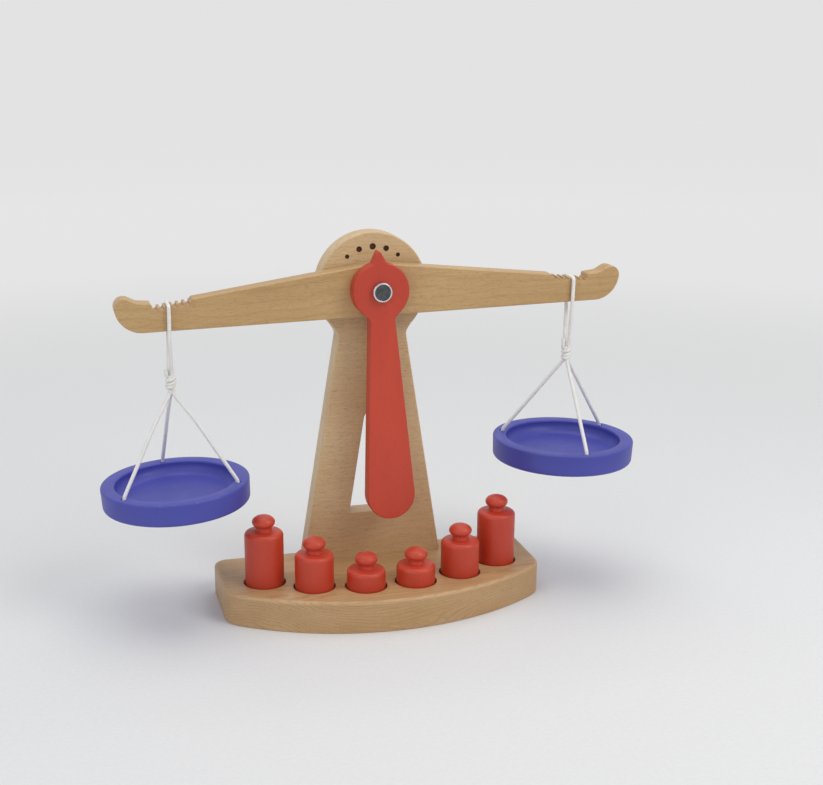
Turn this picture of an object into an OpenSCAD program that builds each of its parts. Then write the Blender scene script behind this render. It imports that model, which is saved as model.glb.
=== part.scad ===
// Wooden balance scale toy: a beech stand with a tilting beam, two hanging pans and six weights.
// The origin is the middle of the base's underside, X runs along the beam, -Y faces the player, +Z is up.

/* [Base] */
// Length of the base from end to end
base_w = 220; // [210:1:250]
// Depth of the base at its middle
base_d = 98; // [90:1:120]
// Thickness of the base
base_h = 22; // [20:1:40]
// Radius of the curved front edge, seen from above
front_r = 178; // [165:1:240]
// Radius of the two front corners, seen from above
front_corner_r = 18; // [10:1:30]
// Radius of the two back corners, seen from above
back_corner_r = 9; // [3:1:15]
// Rounding of the base's top edge
base_edge_r = 2.5; // [1:0.5:5]
// Bevel of the base's bottom edge
base_foot_bevel = 0.8; // [0.5:0.1:2]

/* [Sockets] */
// Distance of the sockets from the curved front edge
socket_inset = 27.5; // [24:0.5:29]
// Angle between neighbouring sockets, round the front edge's centre
socket_step = 13.1; // [12.5:0.1:13.5]
// Depth of a socket
socket_depth = 8; // [5:0.5:12]
// Gap between a weight and its socket, all round
socket_gap = 1; // [0.5:0.1:1.4]

/* [Weights] */
// Diameter of a weight's body
weight_d = 26; // [22:0.5:28]
// Height of a large weight above the base
weight_large_h = 47.2; // [42:0.2:48]
// Height of a medium weight above the base
weight_medium_h = 34.5; // [30:0.5:40]
// Height of a small weight above the base
weight_small_h = 23.5; // [21:0.5:28]
// Rounding of a weight's shoulder
shoulder_r = 5; // [2:0.5:6]
// Diameter of the knob on a weight
knob_d = 15.4; // [12:0.2:16]
// Height of the knob
knob_h = 9.2; // [7:0.2:11]
// Diameter of the neck below the knob
neck_d = 10.4; // [8:0.2:12]
// Height of the neck between the shoulder and the knob
neck_h = 2.4; // [0.6:0.1:3]

/* [Upright] */
// Thickness of the upright
upright_t = 15; // [12:0.5:20]
// Distance of the upright's back from the base's back edge
upright_setback = 4.5; // [2:0.5:8]
// Width of the upright at its foot
upright_foot_w = 98; // [85:1:110]
// Width of the upright at its neck
upright_neck_w = 46.6; // [40:0.2:54]
// Radius of the round head
head_r = 37; // [32:0.5:42]
// Height of the pivot above the floor
pivot_z = 214; // [205:1:240]
// Drop of the round head's centre below the pivot
head_drop = 1.5; // [0:0.1:2]
// Height of the window's sill above the base
window_sill = 33; // [32:1:45]
// Width of the window at its sill
window_w = 33; // [24:1:38]
// Height of the window from its sill to its round top
window_h = 73; // [50:1:80]
// Radius of the window's round top
window_top_r = 6; // [4:0.5:9]

/* [Marks] */
// Distance of the five marks from the pivot
mark_arc_r = 27.4; // [26.5:0.1:29]
// Angle between neighbouring marks
mark_step = 19.5; // [15:0.5:22]
// Diameter of the middle mark
mark_mid_d = 4; // [2:0.1:5]
// Diameter of the marks beside it
mark_side_d = 3.6; // [2:0.1:5]
// Diameter of the two outer marks
mark_end_d = 2.6; // [1.5:0.1:4]
// Depth of the marks
mark_depth = 1.5; // [0.5:0.1:3]

/* [Beam] */
// Half the length of the beam
beam_half = 170.4; // [165:0.2:180]
// Thickness of the beam
beam_t = 12; // [9:0.5:14]
// Height of the beam above the pivot, at its middle
beam_peak = 17; // [13:0.5:20]
// Height of the beam above the pivot, at the end of its slope
beam_slope_end = 2; // [1:0.1:4]
// Depth of the beam below the pivot
beam_below = 17.9; // [14:0.1:22]
// Tilt of the beam as it stands, left end down
beam_tilt = 1.2; // [0:0.1:3]
// Distance from the pivot to the notch that carries a cord
hang_x = 136.4; // [135:0.2:140]
// Distance between neighbouring notches
notch_pitch = 4.1; // [3.8:0.1:5]
// Number of notches on the inner side of the cord
notches_inside = 3; // [1:1:3]
// Number of notches on the outer side of the cord
notches_outside = 2; // [1:1:2]
// Radius of the nose's lower curve
nose_r = 17.4; // [15:0.2:18]
// Radius of the nose's upper curve
nose_tip_r = 6.4; // [5:0.2:7]

/* [Pointer] */
// Thickness of the pointer
pointer_t = 10; // [6:0.5:12]
// Radius of the pointer's disc
pointer_disc_r = 18.8; // [16:0.2:20]
// Height of the pointer's tip above the pivot
pointer_tip = 26; // [23:0.5:26]
// Width of the pointer's neck
pointer_neck_w = 16.8; // [12:0.2:20]
// Radius of the round lower end
paddle_r = 16.5; // [12:0.5:20]
// Distance from the pivot to the middle of the round lower end
paddle_reach = 140.5; // [120:0.5:141]
// Angle at which the pointer is glued on, away from square to the beam
pointer_skew = 1.8; // [0:0.1:2]

/* [Pivot] */
// Diameter of the sleeve that the beam turns on
sleeve_d = 8; // [6:0.5:10]
// Running gap between the sleeve and the beam, all round
sleeve_gap = 0.06; // [0.02:0.01:0.1]
// Diameter of the sleeve's head
sleeve_head_d = 13.3; // [12.5:0.1:16]
// Thickness of the sleeve's head
sleeve_head_t = 3.4; // [2.2:0.1:4]
// Diameter of the recess in the sleeve's head
sleeve_recess_d = 10.2; // [8:0.1:11]
// Thickness of the washer between the upright and the beam
spacer_t = 1.6; // [1:0.1:4]
// Diameter of that washer
spacer_d = 20; // [16:0.5:30]
// Diameter of the screw in the sleeve
screw_d = 5; // [3:0.5:5]
// Diameter of the screw's head
screw_head_d = 10; // [8:0.5:14]
// Thickness of the screw's head
screw_head_t = 3.2; // [2.5:0.1:5]
// Thickness of the washer under the screw's head
rear_washer_t = 1.2; // [0.8:0.1:3]
// Diameter of the washer under the screw's head
rear_washer_d = 16; // [12:0.5:24]

/* [Pans] */
// Diameter of a pan
pan_d = 98; // [90:1:99]
// Height of a pan
pan_h = 15; // [14:0.5:18]
// Width of the pan's flat rim
rim_w = 9.3; // [8.5:0.1:12]
// Depth of the dish
dish_depth = 9; // [6:0.5:10]
// Radius of the cove between the dish's wall and floor
dish_cove_r = 6.5; // [3:0.5:8]
// Drop from the notch to the pan's rim
pan_drop = 113.6; // [112:0.2:118]
// How much lower the left pan hangs
left_longer = 4.2; // [0:0.2:5]
// Lean of the left pan, outer side down
left_pan_lean = 2.6; // [0:0.1:3]
// Lean of the right pan, outer side down
right_pan_lean = 1.2; // [0:0.1:3]
// Direction of the first cord hole of the left pan
left_hole_turn = -25; // [-60:5:60]
// Direction of the first cord hole of the right pan
right_hole_turn = 30; // [-60:5:60]

/* [Cords] */
// Diameter of the cord
cord_d = 2.5; // [2:0.1:2.8]
// Diameter of a cord hole
cord_hole_d = 3.6; // [3.4:0.1:4.2]
// Drop from the notch to the middle of the knot
knot_drop = 51; // [46:0.5:56]
// How much lower the right knot sits on its cord
right_knot_lower = 2.4; // [0:0.2:4]
// Height of the knot
knot_h = 9; // [7:0.5:11]
// Radius of the knot
knot_r = 3.6; // [3:0.1:4.2]

/* [Joinery] */
// Diameter of the screws that hold the upright
foot_screw_d = 4.5; // [3:0.5:5]
// Distance of those screws from the middle
foot_screw_x = 30; // [20:1:38]
// Length of those screws
foot_screw_l = 48; // [36:1:50]
// Diameter of the heads of those screws
foot_screw_head_d = 9; // [7:0.5:11]
// Diameter of the dowels between the pointer and the beam
dowel_d = 5; // [3:0.5:6]
// Distance of the dowels from the pivot
dowel_x = 11.5; // [10:0.5:13]
// Length of the dowels
dowel_l = 13; // [8:0.5:14]

/* [Hidden] */

// overrun of a cut past the face that it opens
cut = 1;
// gap of a glued or driven piece in its hole
seat_gap = 0.02;
// gap between flat faces that slide past each other
side_play = 0.15;
// gap between a cord and the piece of another body that it lies on
cord_gap = 0.3;

beech = [0.80, 0.66, 0.47];
red_paint = [0.76, 0.25, 0.17];
blue_paint = [0.30, 0.32, 0.66];
chrome = [0.75, 0.76, 0.78];
steel = [0.62, 0.62, 0.64];
nylon = [0.90, 0.90, 0.88];
cord_white = [0.93, 0.93, 0.91];

// places along Y, from the base's back edge forwards
back_y = base_d / 2;
upright_back = back_y - upright_setback;
upright_front = upright_back - upright_t;
beam_back = upright_front - spacer_t - side_play;
beam_front = beam_back - beam_t;
beam_y = (beam_back + beam_front) / 2;
pointer_front = beam_front - pointer_t;
arc_y = front_r - base_d / 2;

function unit(v) = v / norm(v);

// points on an arc round c, from angle a to angle b
function arc(c, r, a, b, n) = [for (i = [0:n]) c + r * [cos(a + (b - a) * i / n), sin(a + (b - a) * i / n)]];

// a corner at q between p and s, rounded by r in n steps; r = 0 keeps it sharp
function corner(p, q, s, r, n) =
    let (
        u = unit(p - q),
        v = unit(s - q),
        half = acos(u * v) / 2,
        m = q + unit(u + v) * r / sin(half),
        e = q + u * r / tan(half) - m,
        f = q + v * r / tan(half) - m,
        a = atan2(e[1], e[0]),
        turn = (atan2(f[1], f[0]) - a + 540) % 360 - 180
    )
    r == 0 ? [q] : arc(m, r, a, a + turn, n);

// a closed path of [x, y, radius] with every corner rounded
function rounded(path, n = 6) = [
    for (i = [0:len(path) - 1])
        let (
            p = path[(i + len(path) - 1) % len(path)],
            q = path[i],
            s = path[(i + 1) % len(path)]
        )
        each corner([p[0], p[1]], [q[0], q[1]], [s[0], s[1]], q[2], n)
];

// a path mirrored about X = 0 and run backwards, so that it closes its other half
function mirrored(path) = [for (i = [len(path) - 1:-1:0]) [-path[i][0], path[i][1], path[i][2]]];

function sharp(points) = [for (p = points) [p[0], p[1], 0]];

// a plank whose outline is drawn in X and Z, t thick, with its back at y
module plank(y, t) {
    translate([0, y, 0]) rotate([90, 0, 0]) linear_extrude(t) children();
}

// a round bar along Y from y0 to y1
module bar_y(x, z, d, y0, y1) {
    translate([x, y1, z]) rotate([90, 0, 0]) cylinder(d = d, h = y1 - y0, $fn = 48);
}

// a tube along a route that stays in one plane; side is square to that plane
module tube(route, side, d, sides = 8) {
    n = len(route);
    tangents = [for (i = [0:n - 1]) unit(route[min(i + 1, n - 1)] - route[max(i - 1, 0)])];
    rings = [
        for (i = [0:n - 1])
            let (b = cross(tangents[i], side))
            for (k = [0:sides - 1])
                route[i] + d / 2 * (cos(360 * (k + 0.5) / sides) * side + sin(360 * (k + 0.5) / sides) * b)
    ];
    walls = [
        for (i = [0:n - 2]) for (k = [0:sides - 1])
            let (a = i * sides + k, b = i * sides + (k + 1) % sides)
            each [[a, b, b + sides], [a, b + sides, a + sides]]
    ];
    first = [for (k = [sides - 1:-1:0]) k];
    last = [for (k = [0:sides - 1]) (n - 1) * sides + k];
    polyhedron(rings, concat([first, last], walls));
}

// the base's outline seen from above, drawn in by a distance
function base_outline(in) =
    let (
        x = base_w / 2 - in,
        y = base_d / 2 - in,
        r = front_r - in,
        edge = [for (a = [-33:3:33]) [r * sin(a), arc_y - r * cos(a), 0]],
        end = [x, arc_y - sqrt(r * r - x * x), front_corner_r - in]
    )
    rounded(concat(
        [[-end[0], end[1], end[2]]],
        edge,
        [end, [x, y, back_corner_r - in], [-x, y, back_corner_r - in]]
    ));

// a solid through rings of equal count, each a list of points at its own height
module lofted(outlines, heights) {
    n = len(outlines[0]);
    m = len(outlines);
    points = [for (j = [0:m - 1]) for (p = outlines[j]) [p[0], p[1], heights[j]]];
    walls = [
        for (j = [0:m - 2]) for (i = [0:n - 1])
            let (a = j * n + i, b = j * n + (i + 1) % n)
            each [[a, b, b + n], [a, b + n, a + n]]
    ];
    bottom = [for (i = [n - 1:-1:0]) i];
    top = [for (i = [0:n - 1]) (m - 1) * n + i];
    polyhedron(points, concat([bottom, top], walls));
}

function socket_place(i) =
    let (a = (i - 2.5) * socket_step, r = front_r - socket_inset)
    [r * sin(a), arc_y - r * cos(a)];

foot_screw_y = upright_back - upright_t / 2;
foot_screw_head_h = (foot_screw_head_d - foot_screw_d) / 2;
foot_screw_sink = 1;
screw_hole_d = foot_screw_d + 2 * seat_gap;
screw_sink_d = foot_screw_head_d + 2 * seat_gap;

module base() {
    edge_steps = [0, 30, 60, 90];
    color(beech) difference() {
        lofted(
            concat(
                [base_outline(base_foot_bevel), base_outline(0)],
                [for (a = edge_steps) base_outline(base_edge_r * (1 - cos(a)))]
            ),
            concat(
                [0, base_foot_bevel],
                [for (a = edge_steps) base_h - base_edge_r * (1 - sin(a))]
            )
        );
        for (i = [0:5])
            translate([socket_place(i)[0], socket_place(i)[1], base_h - socket_depth])
                cylinder(r = weight_d / 2 + socket_gap, h = socket_depth + cut, $fn = 64);
        for (s = [-1, 1]) translate([s * foot_screw_x, foot_screw_y, 0]) {
            translate([0, 0, -cut]) cylinder(d = screw_hole_d, h = base_h + 2 * cut, $fn = 32);
            translate([0, 0, -cut]) cylinder(d = screw_sink_d, h = foot_screw_sink + cut, $fn = 48);
            translate([0, 0, foot_screw_sink])
                cylinder(d1 = screw_sink_d, d2 = screw_hole_d, h = foot_screw_head_h, $fn = 48);
        }
    }
}

module foot_screws() {
    color(steel) for (s = [-1, 1]) translate([s * foot_screw_x, foot_screw_y, foot_screw_sink]) {
        difference() {
            union() {
                cylinder(d1 = foot_screw_head_d, d2 = foot_screw_d, h = foot_screw_head_h, $fn = 48);
                cylinder(d = foot_screw_d, h = foot_screw_l - foot_screw_d, $fn = 32);
                translate([0, 0, foot_screw_l - foot_screw_d])
                    cylinder(d1 = foot_screw_d, d2 = foot_screw_d / 5, h = foot_screw_d, $fn = 32);
            }
            for (a = [0, 90]) rotate([0, 0, a])
                cube([foot_screw_d, foot_screw_d / 4, foot_screw_head_h], center = true);
        }
    }
}

neck_fillet = 6;
neck_angle = 54;

// the upright's right-hand edge from the foot to the top of its head
function upright_edge() =
    let (
        rise = pivot_z - head_drop - base_h
    )
    concat(
        [[upright_foot_w / 2, 0, 0], [upright_neck_w / 2, rise - head_r + neck_fillet, neck_fillet]],
        [for (a = [-neck_angle + 10:8:82]) [head_r * cos(a), rise + head_r * sin(a), 0]]
    );

module upright() {
    right = upright_edge();
    top = [[0, pivot_z - head_drop - base_h + head_r, 0]];
    slope = atan2((upright_foot_w - upright_neck_w) / 2, pivot_z - head_drop - base_h - head_r);
    window_top = window_sill + window_h - window_top_r;
    window = concat(
        [[window_w / 2, window_sill]],
        arc([0, window_top], window_top_r, slope, 180 - slope, 10),
        [[-window_w / 2, window_sill]]
    );
    color(beech) difference() {
        translate([0, 0, base_h]) plank(upright_back, upright_t) difference() {
            polygon(rounded(concat(right, top, mirrored(right)), 8));
            polygon(window);
        }
        bar_y(0, pivot_z, sleeve_d + 2 * seat_gap, upright_front - cut, upright_back + cut);
        for (i = [-2:2]) let (
            a = i * mark_step,
            d = i == 0 ? mark_mid_d : (abs(i) == 1 ? mark_side_d : mark_end_d)
        )
            bar_y(mark_arc_r * sin(a), pivot_z - head_drop + mark_arc_r * cos(a), d,
                upright_front - cut, upright_front + mark_depth);
        for (s = [-1, 1]) translate([s * foot_screw_x, foot_screw_y, base_h - cut])
            cylinder(d = screw_hole_d, h = foot_screw_l + foot_screw_sink - base_h + 2 * cut, $fn = 32);
    }
}

// the sleeve runs from its head in front of the pointer to just inside the upright's back
sleeve_back = upright_back - 2 * cut;
sleeve_bore_l = 18;

module pivot_sleeve() {
    head_back = pointer_front - side_play;
    head_front = head_back - sleeve_head_t;
    bevel = (sleeve_head_d - sleeve_recess_d) / 4;
    recess_depth = sleeve_head_t / 4;
    color(chrome) difference() {
        union() {
            translate([0, head_back, pivot_z]) rotate([90, 0, 0]) rotate_extrude($fn = 96)
                polygon([
                    [0, 0],
                    [sleeve_head_d / 2, 0],
                    [sleeve_head_d / 2, sleeve_head_t - 2 * bevel],
                    [sleeve_head_d / 2 - bevel / 2, sleeve_head_t - bevel / 2],
                    [sleeve_recess_d / 2 + bevel / 2, sleeve_head_t],
                    [sleeve_recess_d / 2, sleeve_head_t - recess_depth],
                    [0, sleeve_head_t - recess_depth]
                ]);
            bar_y(0, pivot_z, sleeve_d, head_back, sleeve_back);
        }
        bar_y(0, pivot_z, screw_d + 2 * seat_gap, sleeve_back - sleeve_bore_l, sleeve_back + cut);
    }
}

module pivot_screw() {
    head_y = upright_back + rear_washer_t;
    dome_r = screw_head_t * 0.6;
    color(steel) difference() {
        union() {
            bar_y(0, pivot_z, screw_d, sleeve_back - sleeve_bore_l + cut, head_y);
            translate([0, head_y, pivot_z]) rotate([-90, 0, 0]) rotate_extrude($fn = 64)
                polygon(concat(
                    [[0, 0], [screw_head_d / 2, 0]],
                    arc([screw_head_d / 2 - dome_r, screw_head_t - dome_r], dome_r, 0, 90, 6),
                    [[0, screw_head_t]]
                ));
        }
        for (a = [0, 90]) translate([0, head_y + screw_head_t, pivot_z]) rotate([0, a, 0])
            cube([screw_head_d * 0.6, screw_head_t, screw_head_t / 3], center = true);
    }
}

module washer(d, t, y) {
    difference() {
        bar_y(0, pivot_z, d, y - t, y);
        bar_y(0, pivot_z, sleeve_d + 2 * seat_gap, y - t - cut, y + cut);
    }
}

module rear_washer() {
    color(steel) difference() {
        bar_y(0, pivot_z, rear_washer_d, upright_back, upright_back + rear_washer_t);
        bar_y(0, pivot_z, screw_d + 2 * seat_gap, upright_back - cut, upright_back + rear_washer_t + cut);
    }
}

module spacer_washer() {
    color(nylon) washer(spacer_d, spacer_t, upright_front);
}

// a frame that is turned with the beam, its origin on the pivot
module on_beam() {
    translate([0, 0, pivot_z]) rotate([0, -beam_tilt, 0]) children();
}

// height of the slope at x, and of the notches' floor, which lies a little lower
floor_drop = 1.6;
function slope_at(x) = beam_peak + (beam_slope_end - beam_peak) * x / slope_end_x;
function floor_at(x) = slope_at(x) - floor_drop;
cord_notch_r = cord_d / 2 + cord_gap;
slope_end_x = hang_x - (notches_inside + 0.7) * notch_pitch;
hook_x = hang_x + (notches_outside + 0.5) * notch_pitch;
hang_z = floor_at(hang_x);

function beam_edge() =
    let (
        nose = [beam_half - nose_r, nose_r - beam_below],
        tip = [beam_half - nose_tip_r, nose[1] - nose_tip_r * 0.16],
        wall = floor_at(hook_x) + 3.4
    )
    concat(
        [
            [slope_end_x, slope_at(slope_end_x), 1.6],
            [slope_end_x + 0.8, floor_at(slope_end_x + 0.8), 0],
            [hook_x, floor_at(hook_x), 0],
            [hook_x + 0.5, wall, 1.5],
            [hook_x + 9.6, wall + 0.8, 9]
        ],
        sharp(arc(tip, nose_tip_r, 112, 0, 8)),
        sharp(arc(nose, nose_r, -6, -90, 14))
    );

module beam() {
    right = beam_edge();
    peak = [[0, beam_peak, 60]];
    color(beech) difference() {
        on_beam() plank(beam_back, beam_t) difference() {
            polygon(rounded(concat(peak, right, mirrored(right)), 6));
            for (s = [-1, 1]) for (i = [-notches_inside:notches_outside])
                let (x = hang_x + i * notch_pitch)
                translate([s * x, floor_at(x)]) rotate(90) circle(r = cord_notch_r, $fn = 32);
        }
        bar_y(0, pivot_z, sleeve_d + 2 * sleeve_gap, beam_front - cut, beam_back + cut);
        dowel_holes();
    }
}

module dowel_holes() {
    on_beam() for (s = [-1, 1])
        bar_y(s * dowel_x, 0, dowel_d + 2 * seat_gap, beam_front - dowel_l / 2, beam_front + dowel_l / 2);
}

module pointer_dowels() {
    color(beech) on_beam() for (s = [-1, 1])
        bar_y(s * dowel_x, 0, dowel_d,
            beam_front - dowel_l / 2 + side_play, beam_front + dowel_l / 2 - side_play);
}

function pointer_edge() =
    let (
        neck = pointer_neck_w / 2,
        disc_low = -sqrt(pointer_disc_r * pointer_disc_r - neck * neck),
        slope = atan2(paddle_r - neck, paddle_reach + disc_low),
        low = asin(neck / pointer_disc_r)
    )
    concat(
        [[0, pointer_tip + 1.2, 1]],
        [[4.6, pointer_disc_r - 0.4, 2.5]],
        sharp(arc([0, 0], pointer_disc_r, 64, -90 + low + 14, 22)),
        [[neck, disc_low - 1.6, 2.2]],
        sharp(arc([0, -paddle_reach], paddle_r, slope, -90, 16))
    );

module pointer() {
    right = pointer_edge();
    left = mirrored([for (i = [1:len(right) - 2]) right[i]]);
    color(red_paint) difference() {
        translate([0, 0, pivot_z]) rotate([0, -beam_tilt - pointer_skew, 0])
            plank(beam_front, pointer_t) polygon(rounded(concat(right, left), 6));
        bar_y(0, pivot_z, sleeve_d + 2 * sleeve_gap, pointer_front - cut, beam_front + cut);
        dowel_holes();
    }
}

// where the beam carries a hanger: the cord's centre in its notch, for side -1 or 1
function hang_point(s) = [
    s * hang_x * cos(beam_tilt) - hang_z * sin(beam_tilt),
    beam_y,
    pivot_z + s * hang_x * sin(beam_tilt) + hang_z * cos(beam_tilt)
];

leg_y = beam_t / 2 + cord_gap + cord_d / 2;
leg_bend = cord_gap + cord_d / 2;
knot_clear = 3;
leg_low = -(beam_below + hang_z + knot_clear);
function knot_mid(s) = -knot_drop - (s > 0 ? right_knot_lower : 0);
function knot_top(s) = knot_mid(s) + knot_h / 2;
function knot_bottom(s) = knot_mid(s) - knot_h / 2;
twin_y = cord_d / 2 + 0.15;
leg_spread = 0.4;
leg_ease = 3;

// one half of the loop, from the knot up over the beam's front edge
function loop_half(s) = concat(
    [
        [0, -twin_y, knot_top(s)],
        [0, -twin_y - leg_spread, knot_top(s) + leg_ease],
        [0, -(twin_y + leg_y) / 2, (knot_top(s) + leg_low) / 2],
        [0, -leg_y + leg_spread, leg_low - leg_ease],
        [0, -leg_y, leg_low],
        [0, -leg_y, leg_low / 2]
    ],
    [for (a = [180:-22.5:90]) [0, -leg_y + leg_bend + leg_bend * cos(a), -leg_bend + leg_bend * sin(a)]]
);

// the loop goes up in front of the beam, through its notch and down behind it
module loop_cord(s) {
    front = loop_half(s);
    back = [for (i = [len(front) - 1:-1:0]) [0, -front[i][1], front[i][2]]];
    color(cord_white) translate(hang_point(s)) tube(concat(front, back), [1, 0, 0], cord_d);
}

module ring(r, d) {
    rotate_extrude($fn = 36) translate([r, 0]) circle(d = d, $fn = 20);
}

// the knot: three turns of cord round the bundle, and the short cord's end beside the loop
module knot(s) {
    turn_r = knot_r - cord_d / 2;
    tail = [-knot_r * 0.8, -cord_d * 0.16, knot_h * 0.24];
    color(cord_white) translate(hang_point(s) + [0, 0, knot_mid(s)]) {
        translate([0, 0, -knot_h / 2]) cylinder(r = turn_r, h = knot_h, $fn = 36);
        translate([0, 0, -knot_h * 0.26]) rotate([0, -14, 0]) ring(turn_r, cord_d);
        translate([0, 0, -knot_h * 0.02]) rotate([12, 18, 0]) ring(turn_r, cord_d);
        translate([0, 0, knot_h * 0.24]) rotate([-10, -8, 0]) ring(turn_r * 0.94, cord_d);
        translate(tail) cylinder(d = cord_d, h = knot_h * 0.72, $fn = 24);
        translate(tail + [0, 0, knot_h * 0.72]) sphere(d = cord_d * 1.08, $fn = 24);
    }
}

hole_r = pan_d / 2 - rim_w * 0.6;
strand_start = 1.5;
stopper_depth = 5.5;
stopper_d = 6;
stopper_h = 4.6;
stopper_room = 1;
strand_bend = 0.6;
// room under the knot, so that the strands clear it as the pan swings
strand_gap = 1.4;

function hole_turn(s) = s < 0 ? left_hole_turn : right_hole_turn;

function drop(s) = pan_drop + (s < 0 ? left_longer : 0);
function lean(s) = s < 0 ? -left_pan_lean : right_pan_lean;

// a place on the leaning pan, from r, a and the height above its rim, seen from the notch
function on_pan(s, r, a, z) = [
    r * cos(a) * cos(lean(s)) + z * sin(lean(s)),
    r * sin(a),
    -r * cos(a) * sin(lean(s)) + z * cos(lean(s)) - drop(s)
];

// a strand runs straight from the knot to its hole and down through the rim
module strand(s, a) {
    start = [strand_start * cos(a), strand_start * sin(a), knot_bottom(s) - strand_gap];
    hole = on_pan(s, hole_r, a, strand_bend);
    way = unit(hole - start);
    route = [
        start,
        start + way * strand_bend,
        start + (hole - start) * 0.33,
        start + (hole - start) * 0.67,
        hole - way * strand_bend * 1.2,
        hole,
        on_pan(s, hole_r, a, -strand_bend * 2),
        on_pan(s, hole_r, a, stopper_depth - pan_h)
    ];
    translate(hang_point(s)) tube(route, [-sin(a), cos(a), 0], cord_d);
}

// a frame on the middle of the pan's rim that leans with the pan
module in_pan(s) {
    translate(hang_point(s) - [0, 0, drop(s)]) rotate([0, lean(s), 0]) children();
}

module strands(s) {
    color(cord_white) for (k = [0:2]) strand(s, hole_turn(s) + 120 * k);
}

module stopper_knots(s) {
    color(cord_white) for (k = [0:2])
        in_pan(s) rotate([0, 0, hole_turn(s) + 120 * k])
            translate([hole_r, 0, stopper_depth - stopper_h - pan_h]) rotate_extrude($fn = 32)
                polygon(concat(
                    [[0, 0]],
                    arc([stopper_d / 2 - stopper_h / 2, stopper_h / 2], stopper_h / 2, -90, 90, 8),
                    [[0, stopper_h]]
                ));
}

pan_draft = 0.5;
pan_top_r = 1.2;
pan_bottom_r = 2.4;

module pan(s) {
    top = pan_d / 2;
    low = top - pan_draft;
    dish = top - rim_w;
    dish_floor = pan_h - dish_depth;
    outline = rounded([
        [0, 0, 0],
        [low, 0, pan_bottom_r],
        [top, pan_h, pan_top_r],
        [dish, pan_h, pan_top_r],
        [dish, dish_floor, dish_cove_r],
        [0, dish_floor, 0]
    ], 6);
    color(blue_paint) in_pan(s) translate([0, 0, -pan_h]) difference() {
        rotate_extrude($fn = 128) polygon(outline);
        for (k = [0:2]) rotate([0, 0, hole_turn(s) + 120 * k]) translate([hole_r, 0, 0]) {
            translate([0, 0, -cut])
                cylinder(r = stopper_d / 2 + stopper_room, h = stopper_depth + cut, $fn = 40);
            cylinder(d = cord_hole_d, h = pan_h + cut, $fn = 32);
        }
    }
}

weight_foot_bevel = 0.8;

// a weight stands on its socket's floor; i counts the sockets from the left
module weight(i, h) {
    body_r = weight_d / 2;
    knob_share = (1 + cos(asin(neck_d / knob_d))) / 2;
    body_h = h + socket_depth - knob_h * knob_share - neck_h;
    neck_lean = asin(neck_d / knob_d);
    body = rounded([
        [0, 0, 0],
        [body_r, 0, weight_foot_bevel],
        [body_r, body_h, shoulder_r],
        [neck_d / 2, body_h, 0]
    ], 8);
    knob_mid = body_h + neck_h + knob_h / 2 * cos(neck_lean);
    knob = [
        for (i = [0:17])
            let (a = neck_lean + (180 - neck_lean) * i / 18)
            [knob_d / 2 * sin(a), knob_mid - knob_h / 2 * cos(a)]
    ];
    outline = concat(body, knob, [[0, knob_mid + knob_h / 2]]);
    color(red_paint)
        translate([socket_place(i)[0], socket_place(i)[1], base_h - socket_depth])
        rotate_extrude($fn = 96) polygon(outline);
}

base();
upright();
foot_screws();
pivot_sleeve();
pivot_screw();
rear_washer();
spacer_washer();
beam();
pointer();
pointer_dowels();
loop_cord(-1);  // left_loop_cord
knot(-1);  // left_knot
strands(-1);  // left_strands
stopper_knots(-1);  // left_stopper_knots
pan(-1);  // left_pan
loop_cord(1);  // right_loop_cord
knot(1);  // right_knot
strands(1);  // right_strands
stopper_knots(1);  // right_stopper_knots
pan(1);  // right_pan
weight(0, weight_large_h);  // weight_large_left
weight(1, weight_medium_h);  // weight_medium_left
weight(2, weight_small_h);  // weight_small_left
weight(3, weight_small_h);  // weight_small_right
weight(4, weight_medium_h);  // weight_medium_right
weight(5, weight_large_h);  // weight_large_right
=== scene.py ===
"""Looks of the wooden balance scale toy: beech, red and blue lacquer, plated steel and white plaited cord."""
import math

import bpy
import numpy as np
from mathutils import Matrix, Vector
from mathutils.geometry import delaunay_2d_cdt


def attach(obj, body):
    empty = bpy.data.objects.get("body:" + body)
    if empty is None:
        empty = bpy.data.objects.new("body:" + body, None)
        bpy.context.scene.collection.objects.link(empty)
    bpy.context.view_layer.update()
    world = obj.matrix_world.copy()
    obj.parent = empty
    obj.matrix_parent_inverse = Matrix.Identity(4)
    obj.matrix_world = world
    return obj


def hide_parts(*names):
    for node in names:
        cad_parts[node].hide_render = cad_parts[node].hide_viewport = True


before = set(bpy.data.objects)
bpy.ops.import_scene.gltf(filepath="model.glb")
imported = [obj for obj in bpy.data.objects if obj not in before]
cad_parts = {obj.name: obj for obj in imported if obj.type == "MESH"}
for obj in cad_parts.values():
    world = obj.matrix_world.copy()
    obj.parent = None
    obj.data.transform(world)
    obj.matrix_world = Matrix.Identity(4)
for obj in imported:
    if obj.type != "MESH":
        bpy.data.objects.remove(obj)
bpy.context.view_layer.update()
MM = 0.001


# Places on the toy, in millimetres: x to the player's right, y away from the player, z up

# Base, with its sockets and the bores for its screws; BOW_HALF, BOW_STEP and SOCKET_STEP are degrees
BASE_W, BASE_D, BASE_H = 220.0, 98.0, 22.0
FRONT_R, FRONT_CORNER_R, BACK_CORNER_R = 178.0, 18.0, 9.0
BOW_HALF, BOW_STEP = 34.0, 2.0
BASE_TOP_EDGE, BASE_FOOT_EDGE = 2.5, 0.8
ARC_Y = FRONT_R - BASE_D / 2
SOCKET_R, SOCKET_DEPTH, SOCKET_INSET, SOCKET_STEP = 14.0, 8.0, 27.5, 13.1
SOCKET_RIM, SOCKET_COVE = 0.6, 0.8
SOCKET_ARC = FRONT_R - SOCKET_INSET
SCREW_X, SCREW_DEPTH = 30.0, 8.0
SCREW_MOUTH_R, SCREW_HEAD_R, SCREW_SHANK_R = 4.62, 4.52, 2.4

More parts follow.
